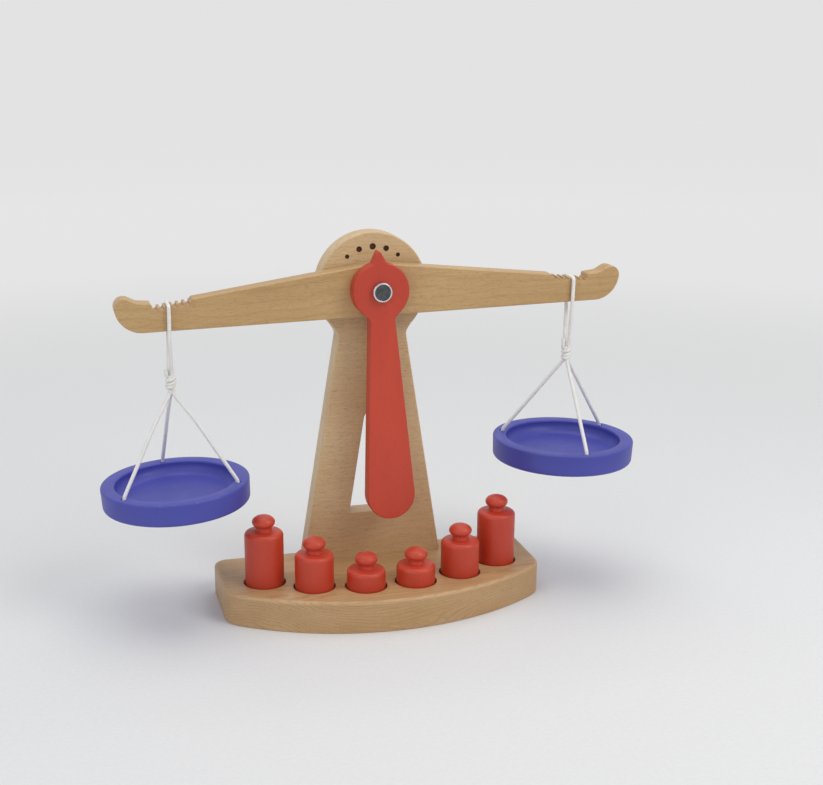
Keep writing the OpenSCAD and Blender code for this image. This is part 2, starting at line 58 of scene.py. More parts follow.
# Weights: size and height above the board, then what they share
WEIGHTS = [("large", 47.2), ("medium", 34.5), ("small", 23.5)]
WEIGHT_R, WEIGHT_BEVEL, SHOULDER_R, CROWN = 13.0, 0.8, 2.8, 1.2
KNOB_R, KNOB_H, NECK_R, NECK_H = 7.7, 9.2, 5.2, 2.4
KNOB_RUB, KNOB_RUB_REACH = 0.7, 6.0

# Upright, with its window and its five marks, MARK_STEP degrees apart
UPRIGHT_BACK, UPRIGHT_FRONT = 44.5, 29.5
FOOT_HALF, NECK_HALF, NECK_CORNER_R, HEAD_R = 49.0, 23.3, 6.0, 37.0
UPRIGHT_EDGE, UPRIGHT_FOOT_EDGE, WINDOW_EDGE = 1.1, 0.15, 0.5
PIVOT_Z, HEAD_Z = 214.0, 212.5
SILL_Z, WINDOW_HALF, WINDOW_TOP, WINDOW_TOP_R = 55.0, 16.5, 122.0, 6.0
MARK_ARC, MARK_STEP, MARK_DEPTH, MARK_RADII = 27.4, 19.5, 1.5, (2.0, 1.8, 1.3)
MARK_RIM, MARK_COVE = 0.15, 0.3

# Beam and notches; heights count from the pivot, and TILT and SKEW are degrees
BEAM_BACK, BEAM_FRONT = 27.75, 15.75
BEAM_Y = (BEAM_BACK + BEAM_FRONT) / 2
BEAM_HALF, PEAK, PEAK_R, SLOPE_END, BELOW = 170.4, 17.0, 60.0, 2.0, 17.9
BEAM_EDGE, NOTCH_EDGE = 1.0, 0.16
NOSE_R, TIP_R, HOOK_WALL = 17.4, 6.4, 3.4
TILT, SKEW = 1.2, 1.8
HANG_X, PITCH, FLOOR_DROP = 136.4, 4.1, 1.6
NOTCH_R, EMPTY_NOTCH_R, EMPTY_NOTCH_DROP, NOTCH_LIP_R = 1.55, 1.2, 0.7, 0.22
SLOPE_X, HOOK_X = HANG_X - 3.7 * PITCH, HANG_X + 2.5 * PITCH

# Pointer, and the bolt that goes through it
POINTER_FRONT, DISC_R, TIP_H = 5.75, 18.8, 26.0
POINTER_NECK, PADDLE_R, PADDLE_REACH = 8.4, 16.5, 140.5
POINTER_EDGE, POINTER_BACK_EDGE, POINTER_BORE_EDGE = 0.9, 0.8, 0.3
SLEEVE_BORE_R, TURNING_BORE_R, BORE_EDGE = 4.05, 4.06, 0.2
SLEEVE_R, SLEEVE_BACK, SLEEVE_T, RECESS_R, RECESS_DEPTH = 6.65, 5.6, 3.4, 5.1, 0.85

# Pans, with the holes and bores for their strands
PAN_R, PAN_H, RIM_W, DISH_DEPTH, COVE_R = 49.0, 15.0, 9.3, 9.0, 6.5
PAN_DRAFT, PAN_TOP_R, PAN_FOOT_R = 0.5, 1.2, 2.4
HOLE_AT, HOLE_R, HOLE_RIM = PAN_R - 0.6 * RIM_W, 1.8, 0.45
BORE_R, BORE_DEPTH, BORE_REACH, BORE_RIM, BORE_COVE = 4.0, 5.5, 45.5, 0.3, 0.2

# Cords, and what differs between the left side, -1, and the right side, 1; LEAN and HOLE_TURN are degrees
CORD_R = 1.25
KNOT_HALF = 4.5
COIL_R, COIL_H, COIL_TURNS = 1.34, 2.2, 1.7
SIDE = {-1: "left", 1: "right"}
PAN_DROP = {-1: 117.8, 1: 113.6}
LEAN = {-1: -2.6, 1: 1.2}
HOLE_TURN = {-1: -25.0, 1: 30.0}
KNOT_MID = {-1: -51.0, 1: -53.4}
KNOT_SLIM = {-1: 0.95, 1: 1.0}
TAIL_TIP = {-1: 8.0, 1: 10.2}
FRONT_SLANT, BACK_SLANT = -0.4, {-1: 0.4, 1: 1.5}


def slope_at(x):
    """Height above the pivot of the beam's sloping top: a straight line from the peak to the first notch."""
    return PEAK + (SLOPE_END - PEAK) * x / SLOPE_X


def floor_at(x):
    """Height of the line that the notches are cut into: the slope, lowered a little."""
    return slope_at(x) - FLOOR_DROP


def socket_place(i):
    """Middle of socket i, counted from the left: equal angles round the centre of the bowed front."""
    a = math.radians((i - 2.5) * SOCKET_STEP)
    return SOCKET_ARC * math.sin(a), ARC_Y - SOCKET_ARC * math.cos(a)


def hole_way(side, k):
    """Direction from the middle of a pan to its hole k: three holes a third of a turn apart."""
    a = math.radians(HOLE_TURN[side] + 120 * k)
    return np.array([math.cos(a), math.sin(a), 0])


# Curves in a plane

def arc(middle, r, start, end, steps):
    """Points middle + r (cos a, sin a), a running from start to end in degrees."""
    a = np.radians(np.linspace(start, end, steps + 1))
    return np.array(middle) + r * np.stack([np.cos(a), np.sin(a)], 1)


def circle(middle, r, count):
    """Points middle + r (cos a, sin a) once round."""
    return arc(middle, r, 0, 360 * (count - 1) / count, count - 1)


def once_round(count):
    """Equal angles of one full turn, the last one short of the first."""
    return np.linspace(0, 2 * math.pi, count, endpoint=False)


def quarter(steps):
    """Equal angles from 0 to 90 degrees, in radians."""
    return np.radians(np.linspace(0, 90, steps + 1))


def rounded(rows, steps=8):
    """A closed path of rows (x, y, radius): each corner becomes an arc that touches both of its sides."""
    rows = np.array(rows, float)
    out = []
    for before, here, after in zip(np.roll(rows, 1, 0), rows, np.roll(rows, -1, 0)):
        if here[2] == 0:
            out.append(here[None, :2])
            continue
        u, v = unit(before[:2] - here[:2]), unit(after[:2] - here[:2])
        half = math.acos(float(np.clip(u @ v, -1, 1))) / 2
        middle = here[:2] + unit(u + v) * here[2] / math.sin(half)
        first = here[:2] + u * here[2] / math.tan(half) - middle
        last = here[:2] + v * here[2] / math.tan(half) - middle
        start = math.degrees(math.atan2(first[1], first[0]))
        turn = (math.degrees(math.atan2(last[1], last[0])) - start + 540) % 360 - 180
        out.append(arc(middle, here[2], start, start + turn, steps))
    return np.concatenate(out)


def sharp(points):
    """Path rows for points that already follow their curve."""
    return np.column_stack([points, np.zeros(len(points))])


def mirrored(rows):
    """The same rows on the other side of x = 0, in the opposite order."""
    return (np.array(rows, float) * [-1, 1, 1])[::-1]


def dense(points, step):
    """The closed path with points added along its straight runs, at most `step` apart."""
    out = []
    for p, q in zip(points, np.roll(points, -1, 0)):
        count = max(1, int(math.ceil(np.linalg.norm(q - p) / step)))
        out.append(p + (q - p) * np.linspace(0, 1, count, endpoint=False)[:, None])
    return np.concatenate(out)


def unit(v):
    """Rows of v brought to length one."""
    return v / np.maximum(np.linalg.norm(v, axis=-1, keepdims=True), 1e-12)


def outward(points):
    """Normals of a closed path that runs anticlockwise: the tangents of two sides, added and turned right."""
    along = unit(np.roll(points, -1, 0) - points) + unit(points - np.roll(points, 1, 0))
    return unit(np.stack([along[:, 1], -along[:, 0]], 1))


def anticlockwise(points):
    """The closed path, turned round if its signed area is negative."""
    after = np.roll(points, -1, 0)
    area = np.sum(points[:, 0] * after[:, 1] - after[:, 0] * points[:, 1])
    return points if area > 0 else points[::-1]


def within(places, path):
    """For each place, whether a ray from it towards +x crosses the closed path an odd number of times."""
    p, q = path[None], np.roll(path, -1, 0)[None]
    x, y = places[:, None, 0], places[:, None, 1]
    spans = (p[..., 1] > y) != (q[..., 1] > y)
    rise = np.where(spans, q[..., 1] - p[..., 1], 1.0)
    crossing = p[..., 0] + (y - p[..., 1]) * (q[..., 0] - p[..., 0]) / rise
    return np.sum(spans & (crossing > x), axis=1) % 2 == 1


def smooth_route(knots, count):
    """A curve through the given points: cubic, with each slope set by the two neighbours."""
    k = np.array(knots, float)
    k = np.concatenate([[2 * k[0] - k[1]], k, [2 * k[-1] - k[-2]]])
    length = np.concatenate([[0], np.cumsum(np.linalg.norm(np.diff(k[1:-1], axis=0), axis=1))])
    at = np.linspace(0, length[-1], count)
    i = np.clip(np.searchsorted(length, at, side="right") - 1, 0, len(length) - 2)
    step = (length[i + 1] - length[i])[:, None]
    t = (at - length[i])[:, None] / step
    a, b, c, d = k[i], k[i + 1], k[i + 2], k[i + 3]
    before = np.linalg.norm(b - a, axis=1, keepdims=True)
    after = np.linalg.norm(d - c, axis=1, keepdims=True)
    leaving = (c - a) / (before + step) * step
    arriving = (d - b) / (after + step) * step
    return ((2 * t ** 3 - 3 * t ** 2 + 1) * b + (t ** 3 - 2 * t ** 2 + t) * leaving
            + (3 * t ** 2 - 2 * t ** 3) * c + (t ** 3 - t ** 2) * arriving)


# Turns of a drawing's axes

# A plank is drawn in x and y with its face at +z; this stands it up with its face to the player
ACROSS = np.array([[1.0, 0, 0], [0, 0, -1.0], [0, 1.0, 0]])
# The grain runs along x of the wood's own place; these lay it along z or along y of the drawing
GRAIN_UP_Z = np.array([[0, 0, 1.0], [1.0, 0, 0], [0, 1.0, 0]])
GRAIN_UP_Y = np.array([[0, 1.0, 0], [-1.0, 0, 0], [0, 0, 1.0]])
# How far apart in the wood two pieces with neighbouring seeds are cut
CUT_APART = np.array([37.0, 11.0, 7.0])


def about_y(degrees):
    """Turn about the y axis: x' = x cos a + z sin a, z' = z cos a - x sin a."""
    a = math.radians(degrees)
    return np.array([[math.cos(a), 0, math.sin(a)], [0, 1, 0], [-math.sin(a), 0, math.cos(a)]])


# Surfaces

class Skin:
    """One closed surface made of rings of points, with walls between rings and flat caps inside them.

    Every ring carries its outward normals, so round edges run into flat faces without a crease.
    The per-point edge value is 1 on the round edges and 0 elsewhere: on lacquer it marks the wear that hands
    rub, on bare beech it places a painted edge highlight."""

    def __init__(self):
        """An empty surface."""
        self.points, self.normals, self.worn, self.faces, self.slots = [], [], [], [], []
        self.total = 0

    def ring(self, points, normals, worn=0.0):
        """Adds a ring and returns the numbers of its points."""
        self.points.append(np.asarray(points, float))
        self.normals.append(unit(np.asarray(normals, float)))
        self.worn.append(np.full(len(points), worn, float))
        self.total += len(points)
        return np.arange(self.total - len(points), self.total)

    def wall(self, a, b, slot=0):
        """Four-sided faces from ring a to ring b; seen from outside a runs anticlockwise below b."""
        self.faces += np.stack([a, np.roll(a, -1), np.roll(b, -1), b], 1).tolist()
        self.slots += [slot] * len(a)

    def walls(self, rings, slot=0):
        """Walls through several rings in turn."""
        for a, b in zip(rings, rings[1:]):
            self.wall(a, b, slot)

    def tip(self, a, point, normal, slot=0, worn=0.0):
        """A fan of triangles that closes ring a at one point."""
        p = self.ring([point], [normal], worn)[0]
        self.faces += np.stack([a, np.roll(a, -1), np.full(len(a), p)], 1).tolist()
        self.slots += [slot] * len(a)

    def cap(self, loops, up, slot=0):
        """A flat face at right angles to z, inside the first loop and outside the others; up is 1 or -1."""
        every = np.concatenate(self.points)
        numbers = np.concatenate(loops)
        flat = every[numbers][:, :2]
        edges, first = [], 0
        for loop in loops:
            here = np.arange(first, first + len(loop))
            edges += np.stack([here, np.roll(here, -1)], 1).tolist()
            first += len(loop)
        made = delaunay_2d_cdt([Vector(p) for p in flat], edges, [], 1, 1e-6)
        origin = np.array([o[0] for o in made[3]])
        triangles = origin[np.array(made[2])]
        middles = flat[triangles].mean(axis=1)
        keep = within(middles, every[loops[0]][:, :2])
        for loop in loops[1:]:
            keep &= ~within(middles, every[loop][:, :2])
        triangles = triangles[keep]
        p, q, r = (flat[triangles[:, k]] for k in range(3))
        area = (q[:, 0] - p[:, 0]) * (r[:, 1] - p[:, 1]) - (r[:, 0] - p[:, 0]) * (q[:, 1] - p[:, 1])
        triangles = np.where((area * up > 0)[:, None], triangles, triangles[:, ::-1])
        self.faces += numbers[triangles].tolist()
        self.slots += [slot] * len(triangles)

    def make(self, name, materials, turn=np.eye(3), shift=(0, 0, 0), grain=np.eye(3), seed=0.0):
        """The object: points turned and shifted into the toy's own axes.

        The attribute `wood` keeps each point as grain @ p, in millimetres, so the grain runs along its x."""
        local = np.concatenate(self.points)
        world = (local @ np.array(turn).T + np.array(shift)) * MM
        normals = np.concatenate(self.normals) @ np.array(turn).T
        wood = local @ np.array(grain).T + seed * CUT_APART
        data = bpy.data.meshes.new(name)
        data.from_pydata(world.tolist(), [], self.faces)
        data.polygons.foreach_set("material_index", np.array(self.slots, np.int32))
        data.polygons.foreach_set("use_smooth", np.ones(len(self.faces), bool))
        wood_layer = data.attributes.new("wood", "FLOAT_VECTOR", "POINT")
        wood_layer.data.foreach_set("vector", wood.astype(np.float32).ravel())
        worn_layer = data.attributes.new("worn", "FLOAT", "POINT")
        worn_layer.data.foreach_set("value", np.concatenate(self.worn).astype(np.float32))
        data.normals_split_custom_set_from_vertices(normals.tolist())
        for m in materials:
            data.materials.append(m)
        obj = bpy.data.objects.new(name, data)
        bpy.context.scene.collection.objects.link(obj)
        return obj


def rim_rings(skin, path, z, r, up, steps=5, normals=None):
    """Rings of a round edge between a wall and the flat face at z.

    At angle a from 0 to 90 degrees it is the path drawn in by r (1 - cos a), at z - up r (1 - sin a)."""
    n = outward(path) if normals is None else normals
    r = np.broadcast_to(r, len(path))[:, None]
    rings = []
    for a in quarter(steps):
        p = np.column_stack([path - n * r * (1 - math.cos(a)), z - up * r[:, 0] * (1 - math.sin(a))])
        m = np.column_stack([n * math.cos(a), np.full(len(path), up * math.sin(a))])
        # Edge value, highest halfway round the edge: wear on lacquer, a painted highlight on bare beech.
        rings.append(skin.ring(p, m, worn=math.sin(2 * a)))
    return rings


def through(skin, path, low, high, low_r, high_r, hole=False):
    """The wall along a closed path between two flat faces. Returns its first and last ring, for the caps."""
    n = -outward(path) if hole else outward(path)
    below = rim_rings(skin, path, low, low_r, -1, normals=n)[::-1]
    above = rim_rings(skin, path, high, high_r, 1, normals=n)
    rings = below + above
    skin.walls([r[::-1] for r in rings] if hole else rings)
    return rings[0], rings[-1]


def sink(skin, middle, r, z, depth, rim, cove, slot=0, count=64, steps=5):
    """A round blind hole with a flat floor, let into the face at z. Returns the ring at its mouth.

    Under the round rim the wall runs down, and a cove of radius `cove` turns it into the floor."""
    path = circle(middle, r, count)
    n = -outward(path)
    rings = rim_rings(skin, path, z, rim, 1, normals=n)[::-1]
    for a in quarter(steps):
        height = np.full(count, z - depth + cove * (1 - math.sin(a)))
        p = np.column_stack([path + n * cove * (1 - math.cos(a)), height])
        m = np.column_stack([n * math.cos(a), np.full(count, math.sin(a))])
        rings.append(skin.ring(p, m))
    skin.walls(rings, slot)
    skin.tip(rings[-1], [*middle, z - depth], [0, 0, 1], slot)
    return rings[0]


def turned(profile, count, name, materials, slots=None, worn=None, **place):
    """A piece from the lathe: the profile (r, z), from its foot to its top on the axis, once round.

    A point is (r cos a, r sin a, z); its normal is the profile's own, turned by a."""
    side = unit(np.roll(profile, -1, 0) - profile)
    side[-1] = side[-2]
    tangent = unit(side[1:-1] + side[:-2])
    a = once_round(count)
    around = np.stack([np.cos(a), np.sin(a)], 1)
    worn = np.zeros(len(profile)) if worn is None else worn
    slots = np.zeros(len(profile), int) if slots is None else slots
    skin = Skin()
    rings = []
    for (r, z), (tr, tz), rubbed in zip(profile[1:-1], tangent, worn[1:-1]):
        p = np.column_stack([r * around, np.full(count, z)])
        rings.append(skin.ring(p, np.column_stack([tz * around, np.full(count, -tr)]), rubbed))
    skin.tip(rings[0][::-1], [0, 0, profile[0, 1]], [0, 0, -1], int(slots[0]))
    for low, high, slot in zip(rings, rings[1:], slots[1:]):
        skin.wall(low, high, int(slot))
    skin.tip(rings[-1], [0, 0, profile[-1, 1]], [0, 0, 1], int(slots[-1]))
    return skin.make(name, materials, **place)


def to_axis(profile):
    """The part of a closed profile (r, z) up to where it first comes back to the axis above its foot."""
    back = (profile[:, 0] < 1e-6) & (profile[:, 1] > 0.1)
    return profile[:int(np.argmax(back)) + 1]


# Cords

# Rings of a cord's domed end: width and distance beyond the end, as shares of the cord's radius
DOME = [(0.62, 0.30), (0.90, 0.12)]
# How far its tip lies beyond the end, as the same share, and how much of the plait the tip takes up
DOME_TIP, DOME_SPAN = 0.42, 0.1


def carried_frame(tangent, closed):
    """Two directions across a route, u and v, carried along it with no twist of their own.

    On a closed route the turn that is left at the end is shared out along it, so that it meets itself."""
    u = np.zeros_like(tangent)
    u[0] = unit(np.cross(tangent[0], [0.31, 0.87, 0.12]))
    for i in range(1, len(u)):
        u[i] = unit(u[i - 1] - tangent[i] * (u[i - 1] @ tangent[i]))
    if closed:
        last = u[-1] - tangent[0] * (u[-1] @ tangent[0])
        twist = -math.atan2(last @ np.cross(tangent[0], u[0]), last @ u[0])
        angle = np.linspace(0, twist, len(u), endpoint=False)[:, None]
        u = u * np.cos(angle) + np.cross(tangent, u) * np.sin(angle)
    return u, np.cross(tangent, u)


class Cords(Skin):
    """Cords as one skin, where each corner of a face also has its place on the plait.

    That place is (a / 2 pi, length / girth), for the angle a round the cord and the length along it."""

    def __init__(self):
        """No cord yet."""
        super().__init__()
        self.plait = []

    def corners(self, across, along):
        """Adds the plait places of a row of faces, with one column for each corner of a face."""
        across = np.stack(across, 1)
        self.plait.append(np.stack([across, np.broadcast_to(along, across.shape)], 2).reshape(-1, 2))

    def sweep(self, route, r, count=18, closed=False):
        """A cord of radius r along a route: a point is route(s) + r (cos a) u(s) + r (sin a) v(s).

        The ends of an open cord close in a shallow dome."""
        if closed:
            tangent = unit(np.roll(route, -1, 0) - np.roll(route, 1, 0))
        else:
            tangent = unit(np.gradient(route, axis=0))
        u, v = carried_frame(tangent, closed)
        a = once_round(count)
        end = len(route) - 1
        order = [(i, 1.0, 0.0) for i in range(end + 1)]
        if not closed:
            order = [(0, w, -d) for w, d in DOME] + order + [(end, w, d) for w, d in DOME[::-1]]
        girth = 2 * math.pi * r
        length = np.concatenate([[0], np.cumsum(np.linalg.norm(np.diff(route, axis=0), axis=1))]) / girth
        rings, spans = [], []
        for i, width, ahead in order:
            around = np.cos(a)[:, None] * u[i] + np.sin(a)[:, None] * v[i]
            middle = route[i] + tangent[i] * ahead * r
            lean = tangent[i] * np.sign(ahead) * math.sqrt(1 - width ** 2)
            rings.append(self.ring(middle + around * r * width, around * width + lean))
            spans.append(length[i] + ahead * r / girth)
        if closed:
            rings.append(rings[0])
            spans.append(spans[-1] + np.linalg.norm(route[0] - route[-1]) / girth)
        left = np.arange(count) / count
        right = left + 1 / count
        for low, high, near, far in zip(rings, rings[1:], spans, spans[1:]):
            self.wall(low, high)
            self.corners([left, right, right, left], [near, near, far, far])
        if not closed:
            for ring, i, span, way in ((rings[0][::-1], 0, spans[0], -1), (rings[-1], end, spans[-1], 1)):
                self.tip(ring, route[i] + tangent[i] * way * DOME_TIP * r, tangent[i] * way)
                first = left[::way]
                self.corners([first, first + way / count, first], [span, span, span + way * DOME_SPAN])

    def finish(self, name, shift):
        """The object in white cord, with its places on the plait."""
        obj = self.make(name, [CORD], shift=shift)
        layer = obj.data.uv_layers.new(name="plait")
        layer.data.foreach_set("uv", np.concatenate(self.plait).astype(np.float32).ravel())
        return obj


# Materials

def rgb(r, g, b):
    """Display values 0 to 255 as scene-linear colour, with alpha one."""
    c = np.array([r, g, b]) / 255
    linear = np.where(c <= 0.04045, c / 12.92, ((c + 0.055) / 1.055) ** 2.4)
    return (*linear.tolist(), 1.0)


def dimmed(colour, share):
    """A share of a scene-linear colour, with alpha one."""
    return tuple(share * c for c in colour[:3]) + (1.0,)


class Tree:
    """Short calls for one node tree. An argument is a socket to link from, or a plain value."""

    def __init__(self, tree):
        """Works on the given tree."""
        self.tree = tree

    def node(self, kind, inputs=(), **settings):
        """A new node with its settings made and its inputs filled."""
        n = self.tree.nodes.new(kind)
        for key, value in settings.items():
            setattr(n, key, value)
        for key, value in dict(inputs).items():
            self.put(n.inputs[key], value)
        return n

    def put(self, socket, value):
        """Links a socket to an input, or sets the input; None leaves it as it is."""
        if isinstance(value, bpy.types.NodeSocket):
            self.tree.links.new(value, socket)
        elif value is not None:
            socket.default_value = value

    def math(self, operation, a, b=None):
        """One sum on one or two numbers."""
        return self.node("ShaderNodeMath", {0: a, 1: b}, operation=operation).outputs[0]

    def plus(self, a, b):
        """a + b."""
        return self.math("ADD", a, b)

    def times(self, a, b):
        """a b."""
        return self.math("MULTIPLY", a, b)

    def vector(self, operation, a, b=None):
        """One sum on one or two vectors."""
        n = self.node("ShaderNodeVectorMath", {0: a, 1: b}, operation=operation)
        return n.outputs["Value" if operation == "LENGTH" else "Vector"]

    def stretch(self, place, x, y, z):
        """A vector with each axis multiplied by its own number."""
        return self.vector("MULTIPLY", place, (x, y, z))

    def apart(self, place):
        """The three numbers of a vector."""
        return self.node("ShaderNodeSeparateXYZ", {0: place}).outputs

    def here(self):
        """The place of the shaded point on its object, in metres."""
        return self.node("ShaderNodeTexCoord").outputs["Object"]

    def attribute(self, name, kind="Vector"):
        """An attribute that the mesh carries."""
        return self.node("ShaderNodeAttribute", attribute_name=name).outputs[kind]

    def noise(self, place, scale, detail=3.0, rough=0.5, distortion=0.0, output="Fac"):
        """Noise from 0 to 1 at a place times scale."""
        n = self.node("ShaderNodeTexNoise", {"Vector": place, "Scale": scale, "Detail": detail,
                                             "Roughness": rough, "Distortion": distortion})
        return n.outputs[output]

    def span(self, value, low, high, to_low=0.0, to_high=1.0, smooth=False):
        """The value carried from the range low to high to the range to_low to to_high, and held there."""
        n = self.node("ShaderNodeMapRange", {0: value, 1: low, 2: high, 3: to_low, 4: to_high},
                      interpolation_type="SMOOTHSTEP" if smooth else "LINEAR")
        return n.outputs[0]

    def mix(self, share, a, b, blend="MIX"):
        """Colour a, with a share of colour b laid over it."""
        n = self.node("ShaderNodeMix", data_type="RGBA", blend_type=blend)
        for key, value in ((0, share), (6, a), (7, b)):
            self.put(n.inputs[key], value)
        return n.outputs[2]

    def bump(self, height, strength, distance, normal=None):
        """The normal of a surface raised by height times distance."""
        n = self.node("ShaderNodeBump", {"Height": height, "Strength": strength, "Distance": distance,
                                         "Normal": normal})
        return n.outputs[0]

    def shared(self, effect, **inputs):
        """One use of a shared effect, with its inputs by name."""
        n = self.node("ShaderNodeGroup")
        n.node_tree = effect
        for key, value in inputs.items():
            self.put(n.inputs[key], value)
        return n.outputs


def group(name, inputs, outputs):
    """A shared effect: its tree, its input sockets and its output sockets, each by name."""
    tree = bpy.data.node_groups.new(name, "ShaderNodeTree")
    for way, sockets in (("INPUT", inputs), ("OUTPUT", outputs)):
        for label, kind in sockets.items():
            tree.interface.new_socket(label, in_out=way, socket_type="NodeSocket" + kind)
    given, result = tree.nodes.new("NodeGroupInput"), tree.nodes.new("NodeGroupOutput")
    return Tree(tree), given.outputs, result.inputs


# Year rings: where their heart lies beside the plank, how it leans along it, and how close they are
HEART_Y, HEART_Z, RING_LEAN, RINGS_PER_MM = 47.0, 31.0, 0.035, 0.21
# Yarns of the plait once round the cord, and along it over a length of one girth
YARNS_ROUND, YARNS_ALONG = 8, 9
# Turning marks on the bolt's face, in radians per metre from its middle
TURNING_MARKS = 16000.0


def beech_grain():
    """Beech as a solid: year rings round a heart outside the plank, fine fibres and short brown flecks.

    The year is the fraction of (distance from the heart times rings per millimetre); its late part darkens
    smoothly and stops at once where the next year begins."""
    t, given, out = group("beech grain", {"Wood": "Vector", "Years": "Float"},
                          {"Color": "Color", "Rays": "Float", "Height": "Float", "Tone": "Float"})
    place = given["Wood"]
    slow = t.noise(t.stretch(place, 0.010, 0.022, 0.022), 1.0, output="Color")
    drift = t.stretch(t.vector("SUBTRACT", slow, (0.5, 0.5, 0.5)), 0.0, 26.0, 26.0)
    bent = t.vector("ADD", place, drift)
    apart = t.apart(bent)
    from_y = t.plus(t.plus(apart["Y"], t.times(apart["X"], RING_LEAN)), HEART_Y)
    from_heart = t.node("ShaderNodeCombineXYZ", {1: from_y, 2: t.plus(apart["Z"], HEART_Z)}).outputs[0]
    years = t.math("FRACT", t.times(t.vector("LENGTH", from_heart), RINGS_PER_MM))
    year = t.times(t.span(years, 0.55, 1.0, smooth=True), t.span(years, 1.0, 0.965))

    fibre = t.noise(t.stretch(place, 0.05, 1.9, 1.9), 1.0, 4.0, 0.65)
    fine = t.noise(t.stretch(place, 0.22, 7.0, 7.0), 1.0, 2.0)
    long_ray = t.noise(t.stretch(place, 0.26, 2.3, 2.3), 1.0, 1.0, 0.4)
    short_ray = t.noise(t.stretch(place, 0.40, 4.4, 4.4), 1.0, 2.0)
    rays = t.math("MAXIMUM", t.span(long_ray, 0.60, 0.72, smooth=True),
                  t.span(short_ray, 0.60, 0.70, 0.0, 0.85, smooth=True))
    flow = t.noise(t.stretch(bent, 0.022, 0.42, 0.42), 1.0, 3.0, 0.55)
    streak = t.times(t.span(flow, 0.50, 0.72, smooth=True), t.times(given["Years"], 0.7))
    cloud = t.noise(t.stretch(place, 0.009, 0.03, 0.03), 1.0)

    colour = t.mix(t.span(cloud, 0.3, 0.7), rgb(211, 178, 128), rgb(198, 161, 110))
    colour = t.mix(t.times(year, given["Years"]), colour, rgb(164, 122, 77))
    colour = t.mix(streak, colour, rgb(160, 120, 76))
    colour = t.mix(t.span(fibre, 0.42, 0.72, 0.0, 0.34), colour, rgb(160, 114, 70))
    colour = t.mix(t.span(fine, 0.35, 0.75, 0.0, 0.18), colour, rgb(224, 197, 155))
    colour = t.mix(t.times(rays, 0.45), colour, rgb(146, 95, 57))
    height = t.plus(t.times(fibre, 0.6), t.times(fine, 0.4))
    t.put(out["Color"], colour)
    t.put(out["Rays"], rays)
    t.put(out["Tone"], cloud)
    t.put(out["Height"], t.math("SUBTRACT", height, t.times(rays, 0.35)))
    return t.tree


def handling():
    """Marks of play: faint smudges, a little colour lost on the round edges, and sprayed lacquer's skin."""
    t, given, out = group("handling", {"Wood": "Vector", "Edge": "Float"},
                          {"Smudge": "Float", "Bare": "Float", "Orange peel": "Float"})
    place = given["Wood"]
    smudge = t.noise(t.stretch(place, 0.05, 0.05, 0.05), 1.0, 4.0, 0.6, 0.6)
    patchy = t.noise(t.stretch(place, 0.22, 0.22, 0.22), 1.0, 5.0, 0.7)
    t.put(out["Smudge"], t.span(smudge, 0.35, 0.75))
    t.put(out["Bare"], t.times(given["Edge"], t.span(patchy, 0.58, 0.74)))
    t.put(out["Orange peel"], t.noise(t.stretch(place, 0.9, 0.9, 0.9), 1.0, 2.0))
    return t.tree


def plait():
    """A plaited cord from its own coordinates: two families of yarn that cross, each yarn a rounded ridge.

    The ridges are |sin(around + along)| and |sin(around - along)|; which one lies on top changes with
    the sign of sin(2 around)."""
    t, given, out = group("plait", {"UV": "Vector"}, {"Height": "Float", "Gap": "Float"})
    apart = t.apart(given["UV"])
    around = t.times(apart["X"], YARNS_ROUND * math.pi)
    along = t.times(apart["Y"], YARNS_ALONG * math.pi)
    one = t.math("ABSOLUTE", t.math("SINE", t.plus(around, along)))
    two = t.math("ABSOLUTE", t.math("SINE", t.math("SUBTRACT", around, along)))
    over = t.math("GREATER_THAN", t.math("SINE", t.times(around, 2.0)), 0.0)
    height = t.plus(t.times(one, over), t.times(two, t.math("SUBTRACT", 1.0, over)))
    t.put(out["Height"], height)
    # Painted shade: strongest where the ridges are lowest, between the yarns.
    t.put(out["Gap"], t.span(height, 0.42, 0.05))
    return t.tree


GRAIN, HANDLING, PLAIT = beech_grain(), handling(), plait()


def material(name):
    """An empty material: the material, its tree and the inputs of its Principled shader."""
    m = bpy.data.materials.new(name)
    m.use_nodes = True
    return m, Tree(m.node_tree), m.node_tree.nodes["Principled BSDF"].inputs


def bare_beech(name, tint, years, coat=0.15, kept=False):
    """Sanded beech under a thin clear lacquer, with a painted highlight along its round edges; a kept solid
    has no `wood`, so its grain reads its place.
    """
    m, t, shader = material(name)
    wood = t.stretch(t.here(), 1 / MM, 1 / MM, 1 / MM) if kept else t.attribute("wood")
    worn = t.attribute("worn", "Fac")
    grain = t.shared(GRAIN, Wood=wood, Years=years)
    hands = t.shared(HANDLING, Wood=wood, Edge=worn)
    colour = t.mix(1.0, grain["Color"], (*tint, 1.0), "MULTIPLY")
    # Painted highlight: the round edges are mixed towards a paler beech, most halfway round each edge.
    t.put(shader["Base Color"], t.mix(t.times(worn, 0.16), colour, rgb(226, 192, 146)))
    rough = t.span(grain["Tone"], 0.3, 0.7, 0.40, 0.50)
    t.put(shader["Roughness"], t.plus(rough, t.times(hands["Smudge"], 0.08)))
    t.put(shader["Coat Weight"], coat)
    t.put(shader["Coat Roughness"], 0.28)
    t.put(shader["Normal"], t.bump(grain["Height"], 0.28, 0.00012))
    return m


